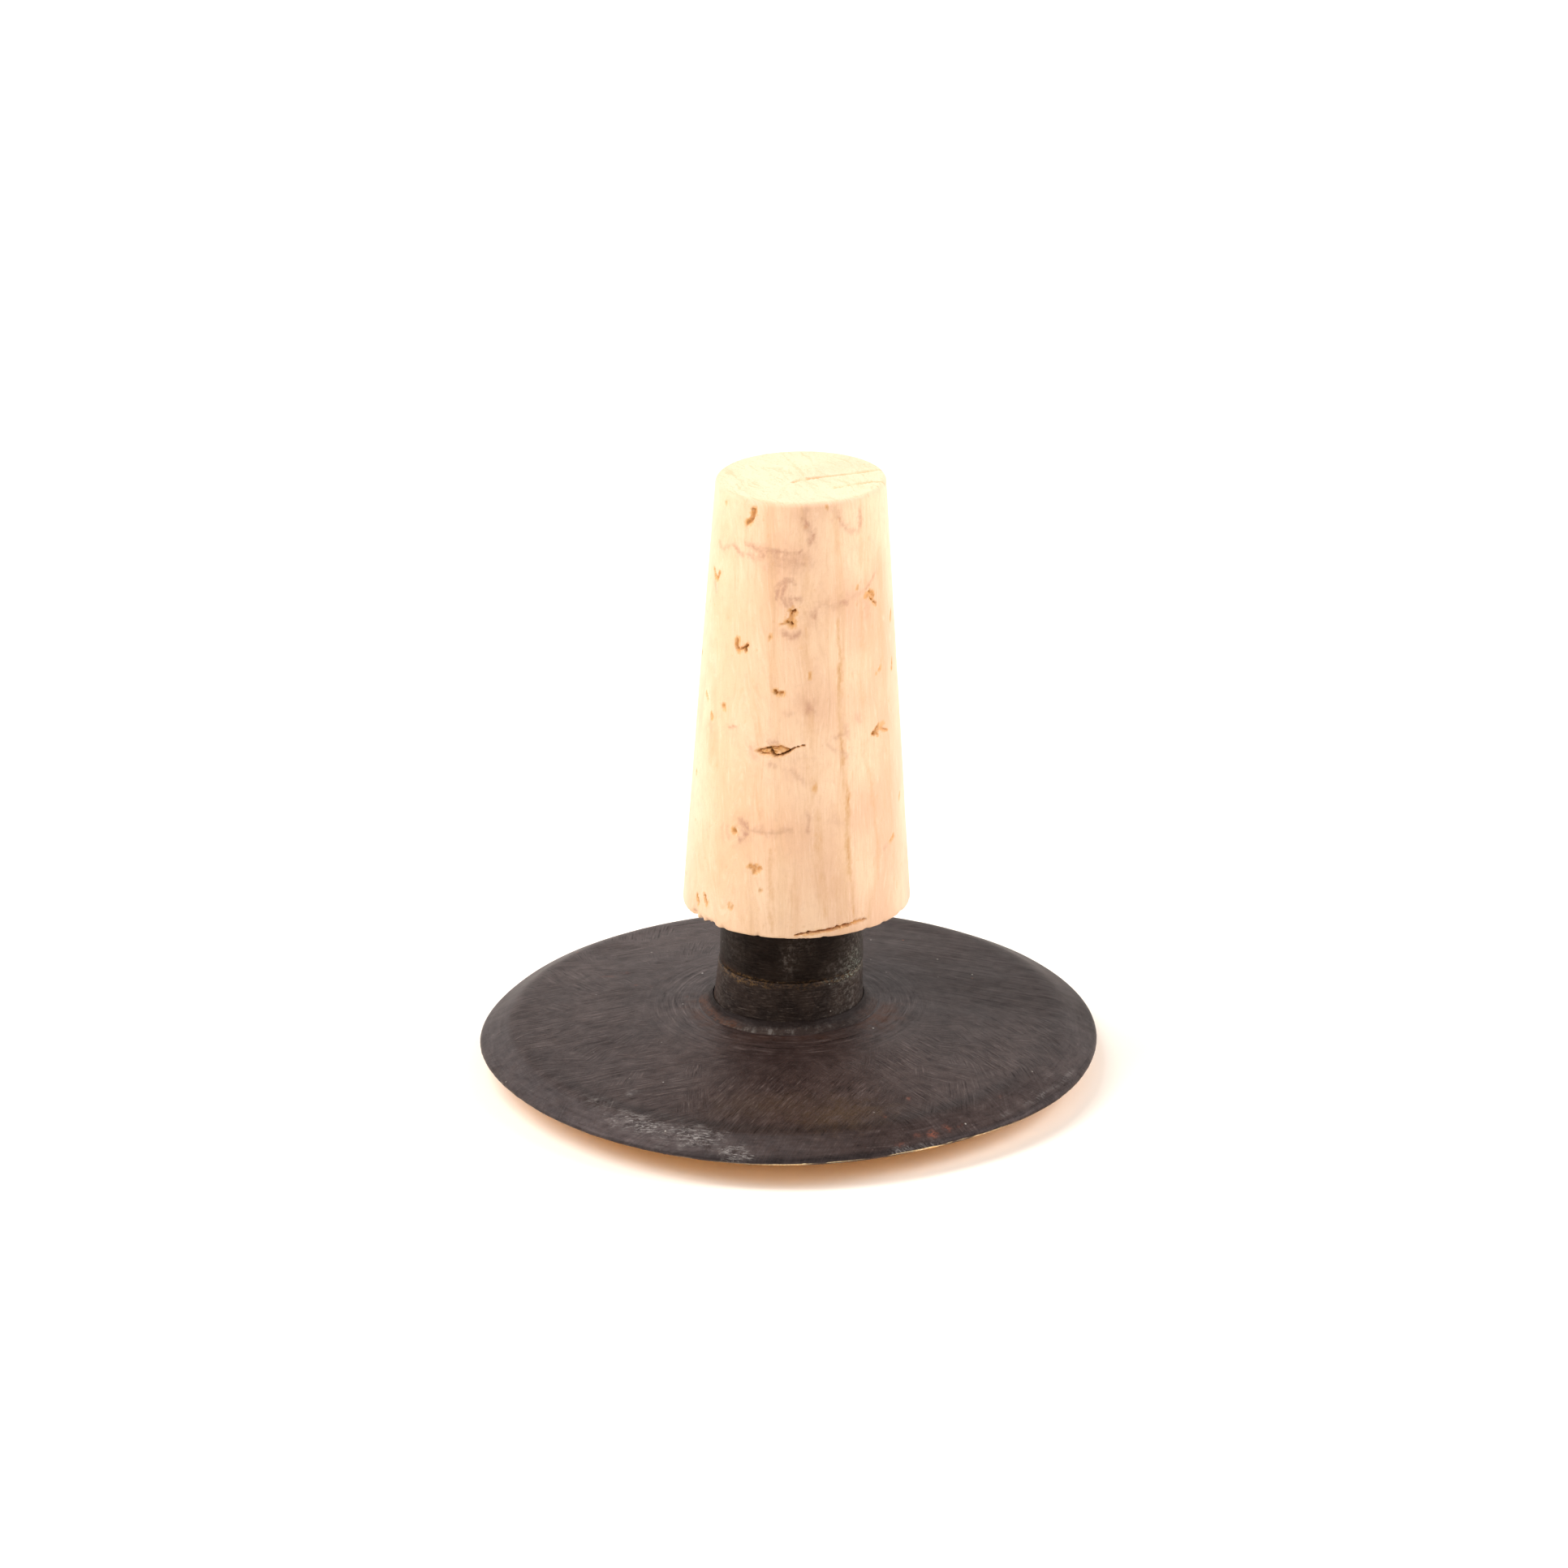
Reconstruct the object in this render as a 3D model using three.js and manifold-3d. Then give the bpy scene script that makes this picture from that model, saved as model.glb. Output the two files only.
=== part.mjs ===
// Cork stopper with a lens-shaped brass knob, standing upside down on the knob.
//
// Frame: millimetres, +Z up, origin at the centre of the small flat land under
// the knob.  +X is to the right and +Y to the back as it stands on a table.
//
// Pieces, from the table up:
//   knob_disc      solid lens-shaped brass disc, blind socket in its top
//   braze_ring     fillet of braze metal round the foot of the boss
//   neck_boss      short tapered brass boss, spigot below, tapped hole above
//   neck_ferrule   plain brass ring between the boss and the cork
//   hanger_bolt    M6 thread below, plain shank, coarse cork thread above
//   cork           tapered natural cork, wide end on the ferrule, leaning a
//                  little to +X with both of its end faces level
//
// The bolt stays in the cork.  Turning the cork anticlockwise, seen from above,
// backs the bolt out of the boss by one pitch a turn.

import * as THREE from 'three';
import { mergeVertices } from 'three/addons/utils/BufferGeometryUtils.js';
import Module from 'manifold-3d';

// ---------------------------------------------------------------- dimensions
// _R is a radius, _Z a height above the table, _X a sideways place of an axis.

// Knob disc
const DISC_R = 32.5;
const LAND_R = 7.0;             // flat land it stands on
const RIM_LOW_Z = 2.70;         // lower corner of the edge band
const DOME_END_R = DISC_R - 0.10;
const DOME_END_Z = RIM_LOW_Z - 0.03;
const DOME_STATION_RADII = [13.0, 19.0, 25.0, 29.5, DOME_END_R];
const SEAT_R = 9.8;             // flat seat under the boss
const SEAT_Z = 6.65;
const SOCKET_R = 5.0;           // blind socket for the boss spigot
const SOCKET_FLOOR_Z = 3.0;

// Upper side of the disc, from the edge band in to the seat: [radius, z]
const DISC_TOP_PROFILE = [
  [DISC_R, RIM_LOW_Z + 0.05], [DISC_R - 0.04, 2.95],
  [32.25, 3.22],                // upper corner of the edge band
  [30.85, 3.94],
  [29.2, 4.70],                 // soft crease where the rim rolls down
  [26.2, 5.09], [23.0, 5.43], [18.0, 5.93], [13.5, 6.33],
  [SEAT_R, SEAT_Z],
];

// Boss
const BOSS_BASE_R = 7.92;
const BOSS_TOP_R = 7.59;
const BOSS_TOP_X = 0.25;        // the boss leans a little to +X
const BOSS_TOP_Z = 11.63;       // the seam between boss and ferrule
const BOSS_WAIST_R = BOSS_TOP_R + 0.14;
const BOSS_WAIST_Z = SEAT_Z + 2.0; // the quicker taper of the foot ends here
const SPIGOT_GAP = 0.05;        // room in the socket, at the side and below
const SPIGOT_R = SOCKET_R - SPIGOT_GAP;
const SPIGOT_Z = SOCKET_FLOOR_Z + SPIGOT_GAP;
const SPIGOT_CHAMFER = 0.2;
const SPIGOT_OVERLAP = 0.6;     // how far the spigot runs up into the barrel
const TAP_FLOOR_Z = 4.30;       // flat end of the tapped hole
const NECK_CHAMFER = 0.15;      // on the ends of the ferrule and top of the boss

// Braze fillet
const BRAZE_IN_R = BOSS_BASE_R + 0.03;
const BRAZE_OUT_R = 9.40;
const BRAZE_HEIGHT = 0.90;
const BRAZE_LIP_WIDTH = 0.04;   // narrow flat on top
const BRAZE_TOE_WIDTH = 0.02;
const BRAZE_TOE_HEIGHT = 0.05;

// Ferrule
const FERRULE_R = 7.50;
const FERRULE_X = 0.375;
const FERRULE_BORE_R = 3.30;

// Cork
const CORK_BOTTOM_Z = 18.55;
const CORK_TOP_Z = 64.58;
const CORK_BOTTOM_R = 11.89;
const CORK_TOP_R = 8.72;
const CORK_BOTTOM_X = 0.914;
const CORK_TOP_X = 1.674;
const CORK_ARRIS = 0.50;        // softened edge of the narrow end
const CORK_HEEL = 0.15;         // nearly sharp edge of the wide end

// Hanger bolt
const BOLT_X = 0.30;            // axis of bolt, tapped hole and ferrule bore
const M6_THREAD = { pitch: 1.00, minorR: 2.39, majorR: 2.95 };
const CORK_THREAD = { pitch: 2.50, minorR: 2.00, majorR: 3.00 };
const THREAD_CLEARANCE = 0.15;  // radial room round either thread
const M6_LOW_Z = 4.90;
const M6_HIGH_Z = BOSS_TOP_Z + 0.30;
const M6_CHAMFER = 0.55;
const SHANK_R = 2.60;
const SHANK_LOW_Z = BOSS_TOP_Z - 0.60;
const SHANK_FULL_LOW_Z = BOSS_TOP_Z + 0.20; // full radius from here
const SHANK_FULL_HIGH_Z = CORK_BOTTOM_Z - 0.75; // to here
const SHANK_HIGH_Z = CORK_BOTTOM_Z - 0.10;
const SHANK_END_INSET = 0.3;    // shank ends lie this far inside the thread roots
const CORK_THREAD_LOW_Z = CORK_BOTTOM_Z - 0.40;
const BOLT_TAPER_Z = 36.00;     // the point starts here
const BOLT_TIP_Z = 42.50;
const BOLT_TIP_R = 0.70;

// Solids that trim or cut reach past the surface by these amounts.
const TRIM_MARGIN = 0.2;        // radially, outside a thread crest
const CUT_OVERRUN = 1;          // along Z, past an end face

const SEGMENTS = {
  disc: 80, neck: 64, spigot: 48, bore: 40, cork: 72, shank: 36, threadTrim: 24, thread: 16,
};

// One pitch of the thread form: place along the pitch and which radius is there
const THREAD_FORM = [
  [1 / 16, 'majorR'], [6 / 16, 'minorR'], [10 / 16, 'minorR'], [15 / 16, 'majorR'],
];

// ----------------------------------------------------------------- materials

const MATERIALS = {
  disc: { color: 0x3b3432, roughness: 0.50, metalness: 0.85 },
  boss: { color: 0x2e2826, roughness: 0.55, metalness: 0.85 },
  braze: { color: 0x4a3228, roughness: 0.60, metalness: 0.80 },
  ferrule: { color: 0x1f1a19, roughness: 0.50, metalness: 0.85 },
  bolt: { color: 0xb2914f, roughness: 0.35, metalness: 1.0 },
  cork: { color: 0xefcb9f, roughness: 0.85, metalness: 0.0 },
};

// ------------------------------------------------------------------- helpers

const kernel = await Module();
kernel.setup();

// Six times the signed volume; negative when the faces point inwards.
function signedVolume(position, triangles) {
  const [first, second, third] = [0, 1, 2].map(() => new THREE.Vector3());
  let volume = 0;
  for (let i = 0; i < triangles.length; i += 3) {
    first.fromBufferAttribute(position, triangles[i]);
    second.fromBufferAttribute(position, triangles[i + 1]);
    third.fromBufferAttribute(position, triangles[i + 2]);
    volume += first.dot(second.cross(third));
  }
  return volume;
}

// Keep positions only, merge shared vertices, drop collapsed triangles and
// turn the faces outwards.
function clean(geometry) {
  const bare = geometry.clone();
  for (const name of Object.keys(bare.attributes)) {
    if (name !== 'position') bare.deleteAttribute(name);
  }
  const merged = mergeVertices(bare, 1e-4);
  const index = merged.index.array;
  const kept = [];
  for (let i = 0; i < index.length; i += 3) {
    const corners = [index[i], index[i + 1], index[i + 2]];
    if (new Set(corners).size === 3) kept.push(...corners);
  }
  if (signedVolume(merged.getAttribute('position'), kept) < 0) {
    for (let i = 0; i < kept.length; i += 3) {
      [kept[i + 1], kept[i + 2]] = [kept[i + 2], kept[i + 1]];
    }
  }
  merged.setIndex(kept);
  return merged;
}

function toSolid(geometry) {
  const closed = clean(geometry);
  return new kernel.Manifold(new kernel.Mesh({
    numProp: 3,
    vertProperties: new Float32Array(closed.getAttribute('position').array),
    triVerts: new Uint32Array(closed.index.array),
  }));
}

function toGeometry(solid) {
  const mesh = solid.getMesh();
  const positions = new Float32Array(mesh.numVert * 3);
  for (let i = 0; i < mesh.numVert; i += 1) {
    for (let axis = 0; axis < 3; axis += 1) {
      positions[i * 3 + axis] = mesh.vertProperties[i * mesh.numProp + axis];
    }
  }
  const geometry = new THREE.BufferGeometry();
  geometry.setAttribute('position', new THREE.BufferAttribute(positions, 3));
  geometry.setIndex(Array.from(mesh.triVerts));
  return geometry;
}

// Revolve [radius, z] pairs about +Z.  The profile starts and ends on the axis,
// or ends where it starts to make a ring.
function revolve(profile, segments) {
  const points = profile.map(([radius, z]) => new THREE.Vector2(radius, z));
  return clean(new THREE.LatheGeometry(points, segments).rotateX(Math.PI / 2));
}

// Profile of a plain cylinder
function cylinderProfile(radius, lowZ, highZ) {
  return [[0, lowZ], [radius, lowZ], [radius, highZ], [0, highZ]];
}

// Shear along X so that the axis passes through lowX at lowZ and highX at highZ.
function lean(geometry, lowZ, lowX, highZ, highX) {
  const slope = (highX - lowX) / (highZ - lowZ);
  return geometry.applyMatrix4(new THREE.Matrix4().set(
    1, 0, slope, lowX - slope * lowZ,
    0, 1, 0, 0,
    0, 0, 1, 0,
    0, 0, 0, 1,
  ));
}

// A right-handed threaded rod about +Z, longer than lowZ to highZ.  The rows of
// the grid follow the helix, so a turn of the rod by any angle, with the
// matching lift, lands on itself.
function threadRod(thread, clearance, lowZ, highZ) {
  const { pitch } = thread;
  const segments = SEGMENTS.thread;
  const rowsPerTurn = THREAD_FORM.length;
  const firstTurn = Math.floor(lowZ / pitch) - 2;
  const turns = Math.ceil((highZ - lowZ) / pitch) + 4;
  const rows = turns * rowsPerTurn;
  const positions = [];
  const vertexIds = new Map();

  // A row's last column is the first column of the row one turn up.
  const vertex = (row, column) => {
    if (column === segments) return vertex(row + rowsPerTurn, 0);
    const key = `${row}:${column}`;
    if (!vertexIds.has(key)) {
      const [fraction, radiusName] = THREAD_FORM[row % rowsPerTurn];
      const radius = thread[radiusName] + clearance;
      const turn = firstTurn + Math.floor(row / rowsPerTurn) + fraction + column / segments;
      const angle = (2 * Math.PI * column) / segments;
      vertexIds.set(key, positions.length / 3);
      positions.push(radius * Math.cos(angle), radius * Math.sin(angle), pitch * turn);
    }
    return vertexIds.get(key);
  };

  const triangles = [];
  for (let row = 0; row < rows; row += 1) {
    for (let column = 0; column < segments; column += 1) {
      const start = vertex(row, column);
      const along = vertex(row, column + 1);
      const opposite = vertex(row + 1, column + 1);
      const above = vertex(row + 1, column);
      triangles.push(start, along, opposite, start, opposite, above);
    }
  }

  // The open edge at an end: one turn of a row, then back down the step.
  const endLoop = (row) => {
    const loop = [];
    for (let column = 0; column <= segments; column += 1) loop.push(vertex(row, column));
    for (let step = rowsPerTurn - 1; step > 0; step -= 1) loop.push(vertex(row + step, 0));
    return loop;
  };
  const bottomLoop = endLoop(0);
  const topLoop = endLoop(rows);

  // Close each end with a cone whose apex lies beyond the thread.
  const bottomApex = positions.length / 3;
  const topApex = bottomApex + 1;
  positions.push(0, 0, pitch * (firstTurn - 1));
  positions.push(0, 0, pitch * (firstTurn + turns + 3));
  bottomLoop.forEach((id, i) => {
    triangles.push(bottomApex, bottomLoop[(i + 1) % bottomLoop.length], id);
  });
  topLoop.forEach((id, i) => {
    triangles.push(topApex, id, topLoop[(i + 1) % topLoop.length]);
  });

  const geometry = new THREE.BufferGeometry();
  geometry.setAttribute('position', new THREE.Float32BufferAttribute(positions, 3));
  geometry.setIndex(triangles);
  return toSolid(geometry);
}

// A threaded rod trimmed to a revolved profile that runs from its low end up.
function trimmedThread(thread, clearance, trimProfile) {
  const lowZ = trimProfile[0][1];
  const highZ = trimProfile.at(-1)[1];
  return threadRod(thread, clearance, lowZ, highZ)
    .intersect(toSolid(revolve(trimProfile, SEGMENTS.threadTrim)));
}

// The pointed cork thread; with a clearance it is the hole for it.
function corkThread(clearance) {
  const trimR = CORK_THREAD.majorR + clearance + TRIM_MARGIN;
  const tipZ = BOLT_TIP_Z + clearance;
  return trimmedThread(CORK_THREAD, clearance, [
    [0, CORK_THREAD_LOW_Z], [trimR, CORK_THREAD_LOW_Z],
    [trimR, BOLT_TAPER_Z + clearance],
    [BOLT_TIP_R + clearance, tipZ], [0, tipZ],
  ]);
}

// -------------------------------------------------------------------- pieces

// Height of the underside: a very flat dome that starts at the edge of the land
function domeZ(radius) {
  return DOME_END_Z * (radius ** 2 - LAND_R ** 2) / (DOME_END_R ** 2 - LAND_R ** 2);
}

function knobDisc() {
  return revolve([
    [0, 0], [LAND_R, 0],
    ...DOME_STATION_RADII.map((radius) => [radius, domeZ(radius)]),
    ...DISC_TOP_PROFILE,
    [SOCKET_R, SEAT_Z], [SOCKET_R, SOCKET_FLOOR_Z], [0, SOCKET_FLOOR_Z],
  ], SEGMENTS.disc);
}

function brazeRing() {
  const width = BRAZE_OUT_R - BRAZE_IN_R;
  const topZ = SEAT_Z + BRAZE_HEIGHT;
  const innerFoot = [BRAZE_IN_R, SEAT_Z];
  return revolve([
    innerFoot,
    [BRAZE_OUT_R, SEAT_Z],
    [BRAZE_OUT_R - BRAZE_TOE_WIDTH, SEAT_Z + BRAZE_TOE_HEIGHT],
    // two points on the hollow of the fillet
    [BRAZE_IN_R + width * 0.58, SEAT_Z + BRAZE_HEIGHT * 0.20],
    [BRAZE_IN_R + width * 0.26, SEAT_Z + BRAZE_HEIGHT * 0.50],
    [BRAZE_IN_R + BRAZE_LIP_WIDTH, topZ],
    [BRAZE_IN_R, topZ],
    innerFoot,
  ], SEGMENTS.neck);
}

function neckBoss() {
  const barrel = lean(revolve([
    [0, SEAT_Z], [BOSS_BASE_R, SEAT_Z],
    [BOSS_WAIST_R, BOSS_WAIST_Z],
    [BOSS_TOP_R, BOSS_TOP_Z - NECK_CHAMFER],
    [BOSS_TOP_R - NECK_CHAMFER, BOSS_TOP_Z], [0, BOSS_TOP_Z],
  ], SEGMENTS.neck), SEAT_Z, 0, BOSS_TOP_Z, BOSS_TOP_X);
  const spigotTopZ = SEAT_Z + SPIGOT_OVERLAP;
  const spigot = revolve([
    [0, SPIGOT_Z], [SPIGOT_R - SPIGOT_CHAMFER, SPIGOT_Z],
    [SPIGOT_R, SPIGOT_Z + SPIGOT_CHAMFER],
    [SPIGOT_R, spigotTopZ], [0, spigotTopZ],
  ], SEGMENTS.spigot);
  const trimR = M6_THREAD.majorR + THREAD_CLEARANCE + TRIM_MARGIN;
  const tappedHole = trimmedThread(
    M6_THREAD,
    THREAD_CLEARANCE,
    cylinderProfile(trimR, TAP_FLOOR_Z, BOSS_TOP_Z + CUT_OVERRUN),
  ).translate([BOLT_X, 0, 0]);
  return toGeometry(toSolid(barrel).add(toSolid(spigot)).subtract(tappedHole));
}

function neckFerrule() {
  const sleeve = revolve([
    [0, BOSS_TOP_Z], [FERRULE_R - NECK_CHAMFER, BOSS_TOP_Z],
    [FERRULE_R, BOSS_TOP_Z + NECK_CHAMFER],
    [FERRULE_R, CORK_BOTTOM_Z - NECK_CHAMFER],
    [FERRULE_R - NECK_CHAMFER, CORK_BOTTOM_Z], [0, CORK_BOTTOM_Z],
  ], SEGMENTS.neck).translate(FERRULE_X, 0, 0);
  const bore = revolve(
    cylinderProfile(FERRULE_BORE_R, BOSS_TOP_Z - CUT_OVERRUN, CORK_BOTTOM_Z + CUT_OVERRUN),
    SEGMENTS.bore,
  ).translate(BOLT_X, 0, 0);
  return toGeometry(toSolid(sleeve).subtract(toSolid(bore)));
}

function hangerBolt() {
  const trimR = M6_THREAD.majorR + TRIM_MARGIN;
  const lower = trimmedThread(M6_THREAD, 0, [
    [0, M6_LOW_Z], [M6_THREAD.majorR - M6_CHAMFER, M6_LOW_Z],
    [trimR, M6_LOW_Z + M6_CHAMFER + TRIM_MARGIN],
    [trimR, M6_HIGH_Z], [0, M6_HIGH_Z],
  ]);
  const shank = toSolid(revolve([
    [0, SHANK_LOW_Z], [M6_THREAD.minorR - SHANK_END_INSET, SHANK_LOW_Z],
    [SHANK_R, SHANK_FULL_LOW_Z], [SHANK_R, SHANK_FULL_HIGH_Z],
    [CORK_THREAD.minorR - SHANK_END_INSET, SHANK_HIGH_Z], [0, SHANK_HIGH_Z],
  ], SEGMENTS.shank));
  return toGeometry(lower.add(shank).add(corkThread(0)).translate([BOLT_X, 0, 0]));
}

// Radius of the cork's straight taper at a height
function corkRadius(z) {
  const fraction = (z - CORK_BOTTOM_Z) / (CORK_TOP_Z - CORK_BOTTOM_Z);
  return CORK_BOTTOM_R + (CORK_TOP_R - CORK_BOTTOM_R) * fraction;
}

function cork() {
  const heelZ = CORK_BOTTOM_Z + CORK_HEEL;
  const arrisZ = CORK_TOP_Z - CORK_ARRIS;
  const arrisMidInset = CORK_ARRIS * (1 - Math.SQRT1_2); // halfway round the arc
  const body = lean(revolve([
    [0, CORK_BOTTOM_Z], [CORK_BOTTOM_R - CORK_HEEL, CORK_BOTTOM_Z],
    [corkRadius(heelZ), heelZ],
    [corkRadius(arrisZ), arrisZ],
    [CORK_TOP_R - arrisMidInset, CORK_TOP_Z - arrisMidInset],
    [CORK_TOP_R - CORK_ARRIS, CORK_TOP_Z], [0, CORK_TOP_Z],
  ], SEGMENTS.cork), CORK_BOTTOM_Z, CORK_BOTTOM_X, CORK_TOP_Z, CORK_TOP_X);
  const bore = corkThread(THREAD_CLEARANCE).translate([BOLT_X, 0, 0]);
  return toGeometry(toSolid(body).subtract(bore));
}

// ------------------------------------------------------------------ assembly

function piece(name, geometry, material) {
  geometry.computeVertexNormals();
  const mesh = new THREE.Mesh(geometry, new THREE.MeshStandardMaterial(material));
  mesh.name = name;
  return mesh;
}

const knob = new THREE.Group();
knob.add(
  piece('knob_disc', knobDisc(), MATERIALS.disc),
  piece('neck_boss', neckBoss(), MATERIALS.boss),
  piece('braze_ring', brazeRing(), MATERIALS.braze),
);

const stopper = new THREE.Group();
stopper.add(
  piece('neck_ferrule', neckFerrule(), MATERIALS.ferrule),
  piece('hanger_bolt', hangerBolt(), MATERIALS.bolt),
  piece('cork', cork(), MATERIALS.cork),
);

const group = new THREE.Group();
group.add(knob, stopper);

export default group;
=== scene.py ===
"""A stopper: a brass knob disc, a neck of boss and ferrule, and a tapered cork on a hanger bolt.

It stands upright along +Z with the disc's underside at z = 0 and its front towards -Y.
The cork's wide end sits on the ferrule and its narrow end is the top.
Shapes are worked out in millimetres and turned into metres when a mesh is made.
"""

import math
from functools import cached_property

import bpy
import numpy as np
from mathutils import Matrix, Vector


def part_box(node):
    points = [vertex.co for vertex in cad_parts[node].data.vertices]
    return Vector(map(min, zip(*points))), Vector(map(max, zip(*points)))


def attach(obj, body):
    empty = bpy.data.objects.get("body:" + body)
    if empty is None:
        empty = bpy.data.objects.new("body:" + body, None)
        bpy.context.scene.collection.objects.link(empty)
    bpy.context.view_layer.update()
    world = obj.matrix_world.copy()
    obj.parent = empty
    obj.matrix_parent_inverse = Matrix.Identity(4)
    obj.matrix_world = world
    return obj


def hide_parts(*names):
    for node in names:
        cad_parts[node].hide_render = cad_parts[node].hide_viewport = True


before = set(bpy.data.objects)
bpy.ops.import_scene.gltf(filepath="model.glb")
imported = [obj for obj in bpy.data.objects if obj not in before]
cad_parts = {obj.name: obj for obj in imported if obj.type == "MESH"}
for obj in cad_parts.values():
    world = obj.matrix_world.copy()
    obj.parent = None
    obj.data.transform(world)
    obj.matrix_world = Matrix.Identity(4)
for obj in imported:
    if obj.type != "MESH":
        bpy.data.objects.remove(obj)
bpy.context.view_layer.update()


# ------------------------------------------------------------ driving dimensions, in mm

MM = 0.001

disc_lo, disc_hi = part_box("knob_disc")
boss_lo, boss_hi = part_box("neck_boss")
ferrule_lo, ferrule_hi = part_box("neck_ferrule")
bolt_lo, bolt_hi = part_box("hanger_bolt")
cork_lo, cork_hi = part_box("cork")

DISC_R = (disc_hi.x - disc_lo.x) / 2 / MM
RIM_Z = 2.70  # lower corner of the disc's rim
LAND_R = 7.0  # flat the disc stands on

SPIGOT_Z = boss_lo.z / MM
SEAT_Z = disc_hi.z / MM  # disc meets boss
SEAM_Z = boss_hi.z / MM  # boss meets ferrule
FERRULE_TOP_Z = ferrule_hi.z / MM
FERRULE_R = (ferrule_hi.x - ferrule_lo.x) / 2 / MM
FERRULE_X = (ferrule_hi.x + ferrule_lo.x) / 2 / MM

BOLT_X = (bolt_hi.x + bolt_lo.x) / 2 / MM
BOLT_Z0 = bolt_lo.z / MM
BOLT_Z1 = bolt_hi.z / MM

# the cork leans: its two ends have different centres
WIDE_Z, WIDE_R, WIDE_X = cork_lo.z / MM, 11.89, 0.914
NARROW_Z, NARROW_R, NARROW_X = cork_hi.z / MM, 8.72, 1.674

# ------------------------------------------------------------------- noise and curves

U32 = np.uint32


def hash_cells(ix, iy, iz, seed):
    """A repeatable value in -1..1 for each whole-numbered cell."""
    h = (ix.astype(np.int64).astype(U32) * U32(0x8DA6B343)) ^ (
        iy.astype(np.int64).astype(U32) * U32(0xD8163841)
    ) ^ (iz.astype(np.int64).astype(U32) * U32(0xCB1AB31F))
    h ^= U32((seed * 0x165667B1) & 0xFFFFFFFF)
    h ^= h >> U32(15)
    h *= U32(0x2C1B3C6D)
    h ^= h >> U32(12)
    h *= U32(0x297A2D39)
    h ^= h >> U32(15)
    return h.astype(np.float64) / 4294967295.0 * 2 - 1


def noise(x, y, z, seed=0):
    """Smooth value noise in -1..1 at points given in cells."""
    points = np.broadcast_arrays(*(np.asarray(v, float) for v in (x, y, z)))
    cells = [np.floor(v) for v in points]
    parts = [v - cell for v, cell in zip(points, cells)]
    u, v, w = (f * f * f * (f * (f * 6 - 15) + 10) for f in parts)
    ix, iy, iz = cells
    out = 0
    for dx in (0, 1):
        for dy in (0, 1):
            for dz in (0, 1):
                share = (u if dx else 1 - u) * (v if dy else 1 - v) * (w if dz else 1 - w)
                out = out + share * hash_cells(ix + dx, iy + dy, iz + dz, seed)
    return out


def fbm(x, y, z, octaves, seed):
    """Noise with finer layers added, each half as strong as the one before."""
    total, strength, norm, scale = 0, 1.0, 0.0, 1.0
    for octave in range(octaves):
        layer = noise(*(np.asarray(v) * scale for v in (x, y, z)), seed + octave * 17)
        total = total + strength * layer
        norm += strength
        strength *= 0.5
        scale *= 2.03
    return total / norm


def smooth(start, end, value):
    s = np.clip((value - start) / (end - start), 0, 1)
    return s * s * (3 - 2 * s)


def bell(value, centre, width):
    return np.exp(-((value - centre) / width) ** 2)


def resample(profile, spacing):
    """Points along a polyline of (r, z), no further apart than the spacing."""
    out = [profile[0]]
    for (r0, z0), (r1, z1) in zip(profile[:-1], profile[1:]):
        n = max(1, int(math.ceil(math.hypot(r1 - r0, z1 - z0) / spacing)))
        for i in range(1, n + 1):
            out.append((r0 + (r1 - r0) * i / n, z0 + (z1 - z0) * i / n))
    return out


def spline(points, count):
    """count points along a Catmull-Rom curve through the given (r, z) points."""
    p = np.array(points, float)
    run = np.concatenate([[0], np.cumsum(np.linalg.norm(np.diff(p, axis=0), axis=1))])
    padded = np.vstack([2 * p[0] - p[1], p, 2 * p[-1] - p[-2]])
    out = []
    for s in np.linspace(0, run[-1], count):
        i = min(int(np.searchsorted(run, s, side="right") - 1), len(p) - 2)
        t = (s - run[i]) / (run[i + 1] - run[i])
        a, b, c, d = padded[i:i + 4]
        linear, square, cube = c - a, 2 * a - 5 * b + 4 * c - d, 3 * b - a - 3 * c + d
        out.append(tuple(0.5 * ((2 * b) + linear * t + square * t * t + cube * t ** 3)))
    return out


def graded(low, high, count, density):
    """count values from low to high, closer together where density is high."""
    t = np.linspace(low, high, 4001)
    d = density(t)
    total = np.concatenate([[0], np.cumsum((d[1:] + d[:-1]) / 2)])
    return np.interp(np.linspace(0, total[-1], count), total, t)


# -------------------------------------------------------------- mesh building


def columns(count, front_share):
    """Angles from the front (-Y), turning towards +X, with a share of them on the front half."""
    front = int(round(count * front_share))
    back = count - front
    return np.radians(np.concatenate([
        -90 + 180 * np.arange(front) / front,
        90 + 180 * np.arange(back) / back,
    ]))


def signed_degrees(phi):
    degrees = np.degrees(phi)
    return np.where(degrees > 180, degrees - 360, degrees)


def ring(phi, r, z, centre_x=0.0):
    """Points from an angle off the front, a radius and a height."""
    r = np.broadcast_to(r, phi.shape)
    z = np.broadcast_to(z, phi.shape)
    return np.stack([centre_x + r * np.sin(phi), -r * np.cos(phi), z], -1)


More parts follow.
